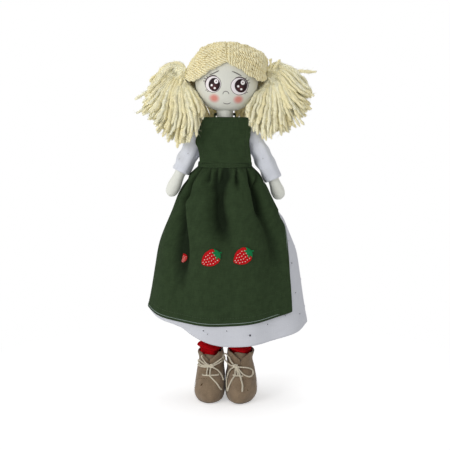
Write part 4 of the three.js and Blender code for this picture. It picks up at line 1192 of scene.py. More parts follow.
def make_bodice():
    rows = ((WAIST + 0.3, 317.6, 22), (318.3, 347, 26), (348, BODICE_TOP, 6))
    z = np.concatenate([np.linspace(*row) for row in rows])[::-1]
    rings = torso_rings(z, 0.8, 96)
    armhole = (np.abs(rings[..., 0]) > SHOULDER_HALF_WIDTH + 0.5) & (rings[..., 2] > 312)
    out = level_out(rings)
    rings = rings + out * np.where(armhole, 0, 0.35 + waviness(rings, 13, 41) * 0.3)[..., None]
    thick = np.where(z > BODICE_TOP - 3, 1.3, 0.95)[:, None]
    parts = cloth(rings, thick, (150, 56), closed=True)
    bodice = new_piece("dress_bodice_cotton", parts, cotton, "body", "dress_cotton", "dress_bodice")
    neck = loop(rings[3] + out[3] * 0.7)
    sewn("neckline_stitches", [neck], cotton_thread, "body", "dress_cotton", 1.6, 0.9, 0.16)


make_bodice()

# %% [markdown]
# ## Skirts
#
# Both skirts are gathered into the waist and hang as one family of surfaces, so the layers can't
# cross. A fold is a valley that runs down from the gathers, narrow and deep at the waist and wide
# and shallow lower down. The valleys in front are drawn one by one, so the long folds fall where they
# do on the doll, and those behind are spaced out by a rule. A simulation would give folds too, but
# not these ones.

# %% The skirts' shared surface
HEM_HEIGHT, HEM_DIP, HEM_LIFT, HEM_HALF_WIDTH, HEM_HALF_DEPTH = 97.0, 19.0, 17.0, 98.0, 49.0
SKIRT_SWING = 4.6
APRON_HEM, APRON_DIP, APRON_TILT = 121.5, 17.0, 4.5
flare_of = through([(0, 0), (0.06, 0.14), (0.18, 0.325), (0.34, 0.545), (0.54, 0.765), (0.7, 0.85),
                    (0.84, 0.915), (1, 1)])
swing_of = through([(0, 0), (0.15, 0.25), (0.34, 1), (1, 1)])
puff_of = through([(0, 0), (0.012, 1.8), (0.05, 4.4), (0.14, 6.2), (0.3, 5.4), (0.5, 3.6), (0.75, 1.8),
                   (1, 1)])
sink_of = through([(0, 0), (0.05, 2.0), (0.14, 5.2), (0.3, 8.5), (0.5, 8.0), (0.75, 4.0), (1, 1.0)])
hem_lift = through([(-180, 0), (-140, 0.6), (-100, 1), (-46, 1), (-36, 0.9), (-28, 0.6), (-19, 0.34),
                    (-10, 0.12), (0, 0), (180, 0)])
FRONT_VALLEYS = [
    ([(0, -31), (0.08, -40), (0.2, -52), (0.3, -58)], 0.32, 0.75, 1.0),
    ([(0, -25), (0.1, -35), (0.17, -39.5), (0.23, -46), (0.46, -50), (0.9, -53)], 0.95, 1.25, 0.55),
    ([(0, -15), (0.1, -19.5)], 0.12, 0.8, 1.0),
    ([(0, -8), (0.14, -12.5)], 0.17, 0.95, 0.8),
    ([(0, 1), (0.06, -1), (0.14, -5.5), (0.2, -7), (0.3, -5), (0.42, 2)], 0.52, 1.3, 1.0),
    ([(0, 7), (0.1, 6)], 0.08, 0.6, 1.0),
    ([(0, 13), (0.1, 14.5)], 0.13, 0.9, 0.8),
    ([(0, 24), (0.096, 29), (0.16, 35), (0.26, 42)], 0.3, 1.05, 0.8),
    ([(0, 31), (0.06, 39), (0.1, 45), (0.17, 56), (0.3, 66)], 0.36, 1.0, 1.0),
    ([(0.15, 34), (0.2, 38), (0.28, 44), (0.36, 52.4), (0.46, 59.5), (0.65, 66)], 0.85, 0.75, 0.8),
]
BACK_VALLEYS = [
    (82 + 16.5 * k + 4 * math.sin(5.0 * k), 84 + 16.5 * k + 7 * math.sin(3.0 * k), 0.2 + 0.35 * (k % 3 == 1))
    for k in range(13)
]
CREASES = [(through(keys), last, depth, lean) for keys, last, depth, lean in FRONT_VALLEYS]


def hem_dip(angle):
    return np.maximum(0, np.cos(angle)) ** 2


def skirt_hem(angle):
    """The underskirt's hem dips in front, and rides up at the doll's right."""
    degrees = np.degrees(np.arctan2(np.sin(angle), np.cos(angle)))
    return HEM_HEIGHT - HEM_DIP * hem_dip(angle) + HEM_LIFT * hem_lift(degrees)


def apron_hem(angle):
    return APRON_HEM - APRON_DIP * hem_dip(angle) + APRON_TILT * np.sin(angle)


def skirt_measures(angle, z):
    """How far down the skirt a point is, and the skirt's half width, half depth and squareness there."""
    drop = (WAIST - z) / (WAIST - skirt_hem(angle))
    flare = flare_of(drop)
    half_width, half_depth = between(30.8, HEM_HALF_WIDTH, flare), between(21.3, HEM_HALF_DEPTH, flare)
    return drop, half_width, half_depth, between(2.6, 2, np.minimum(1, drop * 3))


def valley(off, drop, last, width, fade_share, power):
    """A valley's depth at angles off its line. It widens on the way down and fades out at its last drop."""
    fade = ramp(last - drop, 0, fade_share * last)
    return fade ** power * bell(off, np.radians(width + 9.0 * ramp(drop, 0, 0.5)))


def fold_cut(angle, drop, half_width, squareness):
    """How deep in a fold each point lies, from 0 on the ridges to 1 in the valleys."""
    cut = 0
    for path, last, depth, lean in CREASES:
        across = np.clip((path(drop) - SKIRT_SWING * swing_of(drop)) / half_width, -0.99, 0.99)
        off = half_turned(angle - np.arcsin(spow(across, squareness / 2)))
        cut = cut + 1.15 * depth * valley(off / np.where(off > 0, lean, 1), drop, last, 4.0, 0.4, 1.2)
    for start, end, last in BACK_VALLEYS:
        off = half_turned(angle - np.radians(between(start, end, np.clip(drop / last, 0, 1))))
        cut = cut + valley(off, drop, last, 3.6, 0.45, 1.5)
    return np.minimum(cut, 1.15)


def gathers(angle, drop, half_width, squareness):
    """How far the cloth stands out from the skirt's plain form, in millimetres."""
    rise = puff_of(drop) * (0.6 + 0.75 * np.maximum(0, np.cos(angle)) ** 1.5)
    return rise - fold_cut(angle, drop, half_width, squareness) * (rise + sink_of(drop))


def skirt_point(angle, z, outset):
    """A point on the skirts' surface, a distance out from it."""
    drop, half_width, half_depth, squareness = skirt_measures(angle, z)
    swell = 3.0 * drop * (0.5 - 0.5 * np.cos(9 * angle + 0.9 * np.sin(2 * angle)))
    reach = swell + gathers(angle, drop, half_width, squareness) + outset
    x = SKIRT_SWING * swing_of(drop) + (half_width + reach) * spow(np.sin(angle), 2 / squareness)
    y = -(half_depth + reach) * spow(np.cos(angle), 2 / squareness)
    return points_at(x, y, z)


# %% The underskirt
BEND_START, BEND_END = (0, 0, 0.285), (0, 0, 0.18)
UNDERSKIRT_FLAT = (520, 208)


def skirt_piece(name, parts, material, slot, *nodes, **settings):
    """A piece that no body carries, with its placement baked into its points."""
    made = new_piece(name, parts, material, None, slot, *nodes, **settings)
    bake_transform(made)
    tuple(BEND_START)
    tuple(BEND_END)
    return made


def make_underskirt():
    angle = round_angles(240)[None, :]
    share = evenly(110)[:, None] ** 1.1
    grid = skirt_point(angle, between(WAIST, skirt_hem(angle), share), 0.5)
    fold = waviness(grid * [1, 1, 0.35], 34, 51) * 1.1 * np.minimum(1, share * 2)
    grid = grid + points_at(np.sin(angle) * fold, -np.cos(angle) * fold, 0) * 0.5
    parts = cloth(grid, np.where(share > 0.955, 1.5, 0.9), UNDERSKIRT_FLAT, closed=True)
    skirt = skirt_piece("cotton_underskirt", parts, cotton, "dress_cotton", "underskirt")
    area = sheet_area(grid, True)
    return grid, area


UNDERSKIRT, underskirt_area = make_underskirt()
print("the underskirt is", round(underskirt_area * 1e4), "square cm of cotton")


# %% The apron skirt
LAYER_GAP = 2.4 + 0.55
APRON_RIGHT = math.radians(-100)
APRON_FLAT = (330, 184)
LINEN_STITCH = (2.3, 1.1, 0.17)
apron_left = through([(0, 95.4), (0.22, 88), (0.34, 72), (0.52, 61), (0.66, 57), (1, 52)])


def apron_point(angle, z, lift=0.0):
    """A point on the apron's middle surface at an angle and a height, lifted off it."""
    return skirt_point(angle, z, LAYER_GAP + lift)


def apron_places(u, v):
    """The angles and heights of the apron over shares u across and v down."""
    angle = between(APRON_RIGHT, np.radians(apron_left(v)), u)
    return angle, between(WAIST, apron_hem(angle), v)


def make_apron():
    u, v = evenly(320)[None, :], evenly(140)[:, None]
    angle, z = apron_places(u, v)
    grid = apron_point(angle, z)
    grid[..., 1] -= (ramp(v, 0.55, 0.45) ** 2) * bell(u - 0.995, 0.05) * 1.6
    hem = (v > 0.966) | (u > 0.984) | (u < 0.016)
    parts = cloth(grid, np.where(hem, 1.7, 1.05), APRON_FLAT)
    drop, half_width, _, squareness = skirt_measures(angle, z)
    # The fold depth goes into the tint, where the linen paints shade into the folds.
    deep = fold_cut(angle, drop, half_width, squareness)
    wrapped = np.concatenate([deep[:1], deep, deep[-1:], deep[::-1]])
    tint = np.concatenate([wrapped.ravel(), deep[:, 0], deep[:, -1]])[:, None].repeat(2, 1)
    apron = skirt_piece("pinafore_apron", (*parts[:3], tint), linen, "pinafore_cotton", "apron_skirt",
                        tinted=True)
    area = sheet_area(grid)
    return area


def apron_line(u, v, lift):
    """A line over the apron, lifted a little outwards."""
    path = apron_point(*apron_places(u, v))
    return path + level_out(path) * lift


def trim_apron():
    rows = [(np.linspace(0.02, 0.98, 300), 0.953), (0.976, np.linspace(0.02, 0.95, 200))]
    hems = joined(*[stitches(apron_line(*row, 0.72), *LINEN_STITCH) for row in rows])
    skirt_piece("apron_hem_stitches", hems, linen_thread, "pinafore_cotton")
    hem_line = apron_line(np.linspace(0.012, 0.99, 420), 0.987, 0.95)
    side_line = apron_line(0.99, np.linspace(0.987, 0.16, 260), 0.95)
    tape = resample(np.concatenate([hem_line, side_line[1:]]), 700)
    skirt_piece("apron_edge_tape", threads(tape, 0.3), tape_thread, "pinafore_cotton")


print("the apron is", round(make_apron() * 1e4), "square cm of linen")
trim_apron()


# %% Eyelets
def eyelet(place, out, radius):
    """A stitched ring round a small hole that faces a direction, and a dark disc in it that paints the shade
    inside the hole.
    """
    out = unit(out)
    side = unit(np.cross(out, [0, 0, 1.0]))
    angle = np.linspace(0, TURN, 19)[:, None]
    ring = radius * (np.cos(angle) * side + np.sin(angle) * np.cross(side, out))
    rim = threads(place + ring + out * 0.1, 0.34 * (1 + 0.2 * (np.arange(19) % 2)))
    steps = ((1, -0.4), (1, 0.04), (0.5, 0.0), (0.05, 0.0))
    disc = np.array([place + share * ring[:-1] + out * lift for share, lift in steps])
    return rim, stuffed(disc, 1, 1)


def make_eyelets(name, eyelets, maker, *body):
    """All eyelets of one garment: a piece of thread rims, and a piece of dark discs that paint the shade in
    the holes.
    """
    pairs = [eyelet(*one) for one in eyelets]
    maker(name.format("rims"), joined(*[rim for rim, _ in pairs]), cotton_thread, *body, "dress_cotton")
    maker(name.format("holes"), joined(*[hole for _, hole in pairs]), eyelet_shade, *body, "dress_cotton")


def skirt_outward(row, column):
    """The direction out of the underskirt at one of its points."""
    across = UNDERSKIRT[row, (column + 1) % UNDERSKIRT.shape[1]] - UNDERSKIRT[row, column - 1]
    down = UNDERSKIRT[min(row + 1, len(UNDERSKIRT) - 1), column] - UNDERSKIRT[row - 1, column]
    return unit(np.cross(down, across))


BACK_EYELETS = [(0.915, 17, 0.35), (0.75, 16, 0.0), (0.55, 13, 0.5), (0.3, 9, 0.2)]
FRONT_EYELETS = [
    (-26.2, 98.0, 1.25), (1.3, 97.0, 1.0), (31.2, 93.3, 1.6), (52.2, 104.4, 1.1), (82.5, 177.5, 1.3),
    (-21.8, 93.5, 0.9), (88, 140, 1.2), (94, 112, 1.3), (74, 112, 1.0), (79, 205, 1.0), (-52, 113, 1.0),
]


def skirt_eyelets():
    """Places for the skirt's eyelets: even rows behind, and those that show in front listed one by one."""
    rows, around = UNDERSKIRT.shape[:2]
    eyelets = []
    for height, count, shift in BACK_EYELETS:
        row = int(height * (rows - 1))
        for k in range(count):
            column = int((k + shift) / count * around) % around
            out = skirt_outward(row, column)
            if out[1] > -0.2:
                eyelets.append((UNDERSKIRT[row, column] + out * 0.5, out, 0.95))
    flat = UNDERSKIRT.reshape(-1, 3)
    for x, z, radius in FRONT_EYELETS:
        far = (flat[:, 0] - x) ** 2 + (flat[:, 2] - z) ** 2 + np.where(flat[:, 1] < 0, 0, 1e6)
        row, column = divmod(int(np.argmin(far)), around)
        out = skirt_outward(row, column)
        eyelets.append((UNDERSKIRT[row, column] + out * 0.55, out, radius))
    return eyelets


hem_holes = skirt_eyelets()
make_eyelets("skirt_eyelet_{}", hem_holes, skirt_piece)
hem_row = UNDERSKIRT[int(0.945 * (len(UNDERSKIRT) - 1))]
hem_row = loop(hem_row + level_out(hem_row) * 0.62)
skirt_piece("underskirt_hem_stitches", stitches(hem_row, 1.9, 1.0, 0.15), cotton_thread, "dress_cotton")
for arm_name, (sleeve_rings, sleeve_way) in SLEEVE_RINGS.items():
    sleeve_places = [(sleeve_rings[at] + sleeve_way[at] * 0.5, sleeve_way[at], 0.75)
                     for at in ((14, 50), (30, 55), (24, 66), (40, 62), (22, 20), (38, 14))]
    make_eyelets(f"sleeve_eyelet_{{}}_{arm_name}", sleeve_places, new_piece, f"arm_{arm_name}")
print("eyelets in the skirt:", len(hem_holes))

# %% [markdown]
# ## Embroidered strawberries
#
# The berries are sewn through the linen: rows of red satin stitch, a pale thread for each seed and
# a green cap of pointed leaves. Each stitch is a real thread laid on the apron, because satin
# stitch gets its look from the way light runs along the threads. `on_apron` finds the place on the
# folded cloth for a point seen from the front.

# %% Laying threads on the apron
def on_apron(x, z, lift):
    """The point of the apron seen at x and z from the front. Its angle is found by halving a range."""
    x, z, lift = np.broadcast_arrays(x, z, lift)
    low, high = np.full(x.shape, -1.5), np.full(x.shape, 1.5)
    for _ in range(30):
        angle = (low + high) / 2
        short = apron_point(angle, z, lift)[..., 0] < x
        low, high = np.where(short, angle, low), np.where(short, high, angle)
    return apron_point((low + high) / 2, z, lift)


BERRY_HALF_LENGTH, BERRY_HALF_WIDTH = 12.6, 10.2
SATIN_ROWS = 34
LEAVES = [(-78, 8.2), (-40, 8.8), (0, 6.4), (38, 8.4), (76, 7.6)]
berry_half_width = through([(-1, 0.12), (-0.8, 0.42), (-0.45, 0.76), (0, 0.97), (0.35, 1), (0.7, 0.84),
                            (1, 0.4)])


def berry_lift(side, t):
    """How far the thread rises from the linen: the berry is padded, so it is highest in its middle."""
    return 0.95 + 0.75 * np.sqrt(np.clip(1 - side ** 2, 0, 1)) * np.sqrt(np.clip(1 - t ** 2, 0, 1))


def satin_rows(shown):
    """Rows of satin stitch, as (places along the berry, places across it, lifts)."""
    for side in between(-0.97, 0.97, (np.arange(SATIN_ROWS) + 0.5) / SATIN_ROWS):
        t = np.linspace(-1, 1, 61)
        inside = t[berry_half_width(t) > abs(side)]
        if shown[0] < side < shown[1] and len(inside) > 3:
            t = np.linspace(inside[0], inside[-1], 22)
            lift = berry_lift(side, t)
            lift[[0, -1]] = 0.4
            yield t * BERRY_HALF_LENGTH, side * BERRY_HALF_WIDTH, lift


def seed_stitches(shown):
    """Short pale stitches in staggered rows."""
    for row, t in enumerate(np.linspace(-0.8, 0.56, 6)):
        reach = float(berry_half_width(t))
        wide = max(1, round(reach * 4.0))
        for k in range(wide):
            side = ((k + 0.5) / wide * 2 - 1) * (reach - 0.16) + 0.07 * (row % 2)
            if shown[0] < side < shown[1]:
                lengthwise = np.linspace(-0.75, 0.75, 5) + t * BERRY_HALF_LENGTH
                yield lengthwise, side * BERRY_HALF_WIDTH, berry_lift(side, t) + 0.42


def leaf_stitches():
    """Pointed leaves, each of seven threads that meet at its tip, and a short stalk."""
    t = evenly(14)
    for spread, length in LEAVES:
        for k in range(-3, 4):
            lean = math.radians(spread) + k * 0.085
            reach = length * (1 - 0.16 * abs(k)) * t
            bow = k * 0.42 * np.sin(math.pi * t)
            yield (BERRY_HALF_LENGTH * 0.98 - reach * math.cos(lean) + bow * math.sin(lean),
                   reach * math.sin(lean) + bow * math.cos(lean), 1.9 + 0.5 * np.sin(math.pi * t))
    for k in (-1, 0, 1):
        yield BERRY_HALF_LENGTH * (0.95 + 0.36 * t), k * 0.55 + 1.6 * t ** 2, 1.5


def make_berry(name, x, z, lean, shown=(-1.1, 1.1), size=1.0):
    """One berry: lean is how far its leafy end turns from straight up, to the doll's left."""
    turn = math.radians(lean)

    def embroider(part, stitch_list, radii, thread):
        routes = []
        for lengthwise, crosswise, lift in stitch_list:
            seen_x = x + (lengthwise * math.sin(turn) + crosswise * math.cos(turn)) * size
            seen_z = z + (lengthwise * math.cos(turn) - crosswise * math.sin(turn)) * size
            routes.append(on_apron(seen_x, seen_z, lift))
        skirt_piece(f"strawberry_{part}{name}", threads(np.array(routes), radii), thread, "pinafore_cotton")
        return len(routes)

    rows = embroider("", satin_rows(shown), 0.36, red_thread)
    embroider("seeds_", seed_stitches(shown), 0.5 * np.array([0.45, 0.9, 1, 0.85, 0.4]), white_thread)
    if shown[1] > 1:
        embroider("leaves_", leaf_stitches(), 0.4, green_thread)
    return rows


# %% The three berries
print("rows of satin stitch:", [
    make_berry("middle", -18.0, 187.6, 57, size=0.95),
    make_berry("left", 21.0, 189.9, 57, size=0.95),
    make_berry("right", -51.4, 184.6, 14, shown=(-0.35, 1.0), size=0.42),
])

# %% [markdown]
# ## Bib, waistband and strap
#
# The bib is a flat panel of the same linen, folded over at its edges and held by the waistband and
# a narrow strap round the neck. One side stands away from the body a little, as unpinned cloth
# does. The edges are a double layer, so the sheet is thicker there and has a line of stitches.

# %% Bib
BIB_BOTTOM, BIB_TOP = 302.6, 357.6
bib_right_edge = through([(0, 30.6), (0.16, 31), (0.3, 32.4), (0.45, 35.6), (0.52, 35), (0.75, 31),
                          (1, 26.4)])
bib_left_edge = through([(0, 32.2), (0.2, 30.9), (0.45, 29.3), (0.62, 30.6), (0.88, 31.2), (1, 28.6)])


def bib_point(x, z, outset=0.0):
    """A point on the bib, which lies on the bodice and flattens out towards its sides."""
    body_z = np.minimum(z, SHOULDER)
    depth = torso_half_depth(body_z) + 2.1 + 0.55 + outset
    share = np.minimum(1, np.abs(x) / 44.0)
    proud = np.clip((-x - 24) / 14, 0, 1) ** 2 * bell(z - 328, 14) * 3.2
    return points_at(x, -depth * (1 - share ** 2.6) ** (1 / 2.6) - proud, z)


def bib_at(u, v, outset=0.0):
    x = between(-bib_right_edge(v), bib_left_edge(v), u)
    z = between(BIB_BOTTOM, BIB_TOP, v)
    relief = 0.35 * np.sin(x / 9 + z / 15) * np.sin(math.pi * v)
    return bib_point(x, z, outset + 0.35 + relief)


BIB_FLAT = (64, 56)


def make_bib():
    u, v = evenly(90)[None, :], evenly(80)[:, None]
    grid = bib_at(u, v)
    hem = (v > 0.93) | (((u > 0.955) | (u < 0.045)) & (v > 0.05))
    parts = cloth(grid[::-1], np.where(hem, 1.7, 1.1)[::-1], BIB_FLAT)
    bib = new_piece("pinafore_bib_panel", parts, linen, "body", "pinafore_cotton", "pinafore_bib")
    edge = np.linspace(0.04, 0.925, 90)
    lines = [(0.062, edge), (np.linspace(0.062, 0.938, 90), 0.925), (0.938, edge[::-1])]
    paths = [bib_at(u, v, 0.95) for u, v in lines]
    sewn("bib_edge_stitches", paths, linen_thread, "body", "pinafore_cotton", *LINEN_STITCH)
    return sheet_area(grid)


print("the bib is", round(make_bib() * 1e4, 1), "square cm of linen")


# %% Waistband and neck strap
def make_waistband():
    swell = np.sin(math.pi * np.linspace(0.04, 0.96, 14)) ** 0.6 * 0.7
    rings = torso_rings(np.linspace(302.4, 296.2, 14), 2.2 + swell, 160)
    parts = cloth(rings, 1.4, (172, 6), closed=True)
    new_piece("pinafore_waistband", parts, linen, "body", "pinafore_cotton", "waistband")
    for height, name in ((301.2, "upper"), (297.4, "lower")):
        path = loop(torso_rings(np.array([height]), 3.5, 200)[0])
        sewn(f"waistband_stitches_{name}", [path], linen_thread, "body", "pinafore_cotton", *LINEN_STITCH)


def make_strap():
    out = NECK_RADIUS + 0.9 + 0.5
    foot = bib_point(np.array(out), np.array(BIB_TOP), 0.9)[1]
    start = BIB_TOP + 0.4
    half = [(out * 1.04, foot, start - 4), (out * 1.04, foot, start), (out * 1.1, foot * 0.55, start + 2.4),
            (out * 1.06, 0, start + 3.2), (out * 0.72, out * 0.72, start + 3.4)]
    other = [(-x, y, z) for x, y, z in half][::-1]
    path = smooth_route(half + [(0, out, start + 3.4)] + other, 140)
    grid = np.stack([path + [0, 0, rise] for rise in np.linspace(1.3, -1.3, 7)])
    parts = cloth(grid, 0.9, (90, 2.6))
    new_piece("pinafore_neck_strap", parts, linen, "body", "pinafore_cotton", "neck_strap")


make_waistband()
make_strap()
print("the pinafore is made")

# %% [markdown]
# ## Hair cap
#
# The hair is chunky plied yarn, couched to the head in rows that start at the parting and run to a
# tie at each side. A few guide rows are given, from the hairline over the top to the nape, and the
# others are blended between them, so the rows fan out evenly and close up at the ties. A darker
# backing sheet under the rows paints the shade in the gaps between them.

# %% The cap's surface and its guide rows
HAIR_TOP, CAP_HALF_WIDTH, CAP_HALF_DEPTH, CAP_BELOW = 450.0, 51.0, 42.0, 40.0
CAP_MIDDLE = HEAD_MIDDLE + [0, 2, 0]
TIE_HEIGHT, TIE_OUT = 409.0, 53.2
YARN_RADIUS, CAP_PITCH, CAP_ROWS = 2.0, 10.5, 31
SIDES = {"left": 1, "right": -1}
CAP_FULLNESS = {"left": 5.5, "right": -2.0}
GUIDE_ROWS = [
    [(0.5, -36, 23.5), (8, -35, 17.5), (16, -33, 13), (25, -30, 7), (33, -25, 2.5), (41, -17, 0), (48, -8, 2),
     (51, -3, 4)],
    [(0.5, -33, 33), (9, -31, 29), (18, -28, 24), (28, -25, 18), (36, -20, 12), (43, -13, 8), (48.5, -6, 6),
     (51, -2.5, 5.5)],
    [(0.5, -18, 43), (11, -18, 41), (21, -17, 37), (31, -15, 30), (39, -11, 22), (45, -7, 15), (49, -4, 10),
     (51, -1.5, 8)],
    [(0.5, 6, 46), (13, 6, 44), (25, 6, 39), (35, 5, 31), (42, 4, 23), (47, 3, 16), (50, 2, 11),
     (51, 0.5, 8.5)],
    [(0.5, 28, 34), (14, 28, 31), (27, 24, 26), (37, 18, 20), (44, 13, 15), (48, 8, 11), (50, 5, 8.5),
     (51, 2.5, 7)],
    [(0.5, 38, 8), (14, 37, 7), (27, 32, 5), (38, 24, 4), (44, 17, 4), (48.5, 10, 4.5), (50.5, 6, 5),
     (51, 3.4, 5)],
    [(0.5, 36, -27), (12, 35, -27), (24, 31, -24), (35, 24, -18), (43, 16, -10), (48, 10, -3), (50.5, 5, 1),
     (51, 2.5, 2.5)],
]


def tie_place(side):
    return np.array([HEAD_MIDDLE[0] + side * TIE_OUT, 0, TIE_HEIGHT])


def cap_level(off, half_width, half_depth, room):
    """1 on the cap's rounded form, less inside it and more outside, for places from its middle."""
    up = np.where(off[..., 2] > 0, HAIR_TOP - HEAD_MIDDLE[2], CAP_BELOW)
    x, y, z = np.abs(off / points_at(half_width + room, half_depth + room, up + room)).T
    return (((x ** 2 + y ** 2) ** 1.1 + z ** 2.2) ** (1 / 2.2)).T[..., None]


def on_cap(places, sink):
    """Moves places given from the middle of the cap onto its surface, a little sunk."""
    return places / cap_level(places, CAP_HALF_WIDTH, CAP_HALF_DEPTH, -sink)


def guide_blend(rows, steps):
    """Rows of places between the guide rows, spaced evenly where the cap is widest."""
    guides = np.array([smooth_route(row, steps - 1) for row in GUIDE_ROWS])
    far = along(guides[:, steps // 2])
    places = np.linspace(0, far[-1], rows)
    return np.stack([
        np.stack([through(list(zip(far, guides[:, step, k])))(places) for step in range(steps)], 1)
        for k in range(3)
    ], 2)


def make_cap(name, side):
    chance = np.random.default_rng(70 + side)
    share = evenly(130)
    paths = on_cap(guide_blend(CAP_ROWS, len(share)), YARN_RADIUS * 1.1)
    full = np.exp(-((paths[..., 0] - 40) / 12) ** 2 - ((paths[..., 2] - 25) / 11) ** 2) * CAP_FULLNESS[name]
    lump = waviness(paths, 9, 81 + side) * 0.6 + chance.normal(0, 0.35, CAP_ROWS)[:, None]
    paths = paths + unit(paths) * (full + lump * np.clip(share / 0.04, 0.2, 1))[..., None]
    paths[..., 2] += waviness(paths, 24, 91 + side) * 0.7 * np.sin(math.pi * share)
    paths = paths * [side, 1, 1] + CAP_MIDDLE
    tie = tie_place(side)
    pull = ramp(share, 0.86, 0.14)[None, :, None] ** 2
    paths = between(paths, tie + (paths[:, -1:] - tie) * 0.95 + [side, 0, 0], pull)
    radii = YARN_RADIUS * 1.22 * through([(0, 0.95), (0.05, 1.05), (0.7, 1.0), (1, 0.6)])(share)
    radii = radii * (1 + 0.22 * waviness(paths, 3.2, 101 + side))
    hair = threads(paths, radii, CHUNKY, CAP_PITCH, chance.uniform(0.0, 1.0, CAP_ROWS))
    new_piece(f"yarn_cap_{name}", hair, shaded_cap_yarn, "body", "hair_yarn", f"hair_cap_{name}", tinted=True)
    # Painted shade: a darker sheet under the rows, seen in the gaps between them.
    backing = on_cap(guide_blend(40, 40), YARN_RADIUS * 1.75) * [side, 1, 1] + CAP_MIDDLE
    new_piece(f"cap_shade_backing_{name}", cloth(backing, 1.2, (60, 120)), yarn_shadow, "body", "hair_yarn")


for cap_name, cap_side in SIDES.items():
    make_cap(cap_name, cap_side)
print("the cap has", CAP_ROWS, "rows a side")


# %% The parting
tilts = np.radians(np.linspace(33, 212, 90))
parting = on_cap(points_at(0, -np.cos(tilts) * 40, np.sin(tilts) * 42), 2.9) + CAP_MIDDLE
seam = threads(parting, 0.8, FINE_PLIED, 3.4, 0.2)
new_piece("parting_stitching", seam, yarn, "body", "hair_yarn", "parting_seam", tinted=True)

# %% [markdown]
# ## Pigtails
#
# Each pigtail is a bunch of cut yarn. The strands leave the tie together, spread like a fan, and
# hang in front of the sleeve. Every strand is a curve from the tie to its own end, with a seeded
# sway, and it thickens towards the cut end as the plies relax. The strands lie in many layers, and
# those in the middle are the longest, so the bunch is rounded when it is seen from the side.

# %% The fan of strands
STRANDS, NAPE_STRANDS, STRAND_STEPS = 225, 18, 74
STRAND_RADIUS, STRAND_PITCH = 1.8, 6.4
PIGTAILS = {
    "right": dict(
        seed=7,
        ends=[(39, -10), (42, -19), (46, -28), (50, -39), (46, -48), (37, -55), (32, -64), (20, -75),
              (8, -83), (-5, -81), (-15, -72), (-23, -58), (-27, -44)],
        lifts=[23, 20, 16, 13, 10, 8, 6, 4, 2, 0, -1, -2, -3],
        strays=[(59, -30, 10), (57, -47, 4)],
    ),
    "left": dict(
        seed=8,
        ends=[(35, -3), (45, -12), (52, -21), (52, -31), (47, -41), (39, -52), (29, -60), (16, -67), (3, -74),
              (-9, -74), (-18, -67), (-24, -56), (-29, -43)],
        lifts=[19, 13, 9, 7, 6, 5, 4, 3, 2, 0, -1, -2, -3],
        strays=[(57, 5, -2)],
    ),
}
FAN = (np.arange(STRANDS) * 0.6180339887) % 1.0


def clear_of_head(routes, room):
    """Moves the points that would lie inside the hair cap out to its surface."""
    off = routes - CAP_MIDDLE
    below = np.clip((-2 - off[..., 2]) / 16, 0, 1)
    level = cap_level(off, between(CAP_HALF_WIDTH, HEAD_HALF[0] + 1.0, below),
                      between(CAP_HALF_DEPTH, HEAD_HALF[1] + 3.0, below), room)
    return CAP_MIDDLE + off / np.clip(level, 0.5, 1)


def bowed(root, first, second, end):
    """Routes that leave a root towards one place and reach an end from another."""
    t = evenly(STRAND_STEPS)[:, None]
    root, first, second, end = (np.atleast_2d(place)[:, None] for place in (root, first, second, end))
    return root * (1 - t) ** 3 + 3 * first * t * (1 - t) ** 2 + 3 * second * t ** 2 * (1 - t) + end * t ** 3


def bunch_routes(chance, side, tie, ends, lifts):
    """The strands of the bunch. FAN tells where in the fan each one ends, and its layer how far in front."""
    where = np.linspace(0, 1, len(ends))
    layer = between(-1, 1, (np.arange(STRANDS) + 0.5) / STRANDS)
    deep = np.sqrt(np.clip(1 - layer ** 2, 0.05, 1))
    short = chance.uniform(size=STRANDS) < 0.24
    cut = np.where(short, chance.uniform(0.66, 0.9, STRANDS), chance.uniform(0.93, 1.05, STRANDS))
    shrink = between(0.86, 1.0, deep) * cut
    out = np.interp(FAN, where, ends[:, 0]) * shrink + chance.normal(0, 1.8, STRANDS)
    fall = np.interp(FAN, where, ends[:, 1]) * shrink + chance.normal(0, 2.2, STRANDS)
    lift = np.interp(FAN, where, lifts) * deep + chance.normal(0, 1.8, STRANDS)
    drop_share = np.clip(-fall / 80, 0, 1)
    forward = 28 * drop_share ** 1.1 + layer * between(7, 15, 1 - drop_share * 0.35)
    angle = chance.uniform(0, TURN, STRANDS)
    up = 7.4 * np.cos(math.pi * FAN) + np.sin(angle)
    root = tie + points_at(side * -3.0, 7.0 * layer + np.cos(angle), up)
    end = tie + points_at(side * out, -forward, fall)
    reach = np.linalg.norm(end - root, axis=1)
    leave = reach * np.interp(FAN, [0, 0.5, 0.8, 1], [0.42, 0.3, 0.1, -0.16])
    rise = lift - np.interp(FAN, [0, 0.6, 1], [0, 2, 12])
    first = root + points_at(side * leave, -layer * 9 - 12 * FAN ** 2, rise)
    second = end + points_at(side * reach * np.interp(FAN, [0, 0.25, 0.6, 1], [-0.12, -0.3, -0.1, 0.0]),
                             forward * 0.15, reach * np.interp(FAN, [0, 0.25, 1], [0.2, 0.17, 0.34]))
    return bowed(root, first, second, end)


def nape_routes(chance, side, tie):
    """Strands that hang behind the neck. The first draw is their reach, and the second one their fall."""
    share = evenly(NAPE_STRANDS)
    inwards = between(-16, -44, share) + chance.normal(0, 1.5, NAPE_STRANDS)
    end = tie + points_at(side * inwards, between(20, 13, share),
                          between(-64, -50, share) + chance.normal(0, 2.5, NAPE_STRANDS))
    root = tie + [side * 0.5, 3, -2]
    return bowed(root, root + [-side, 14, -14], end + [0, 3, 26], end)


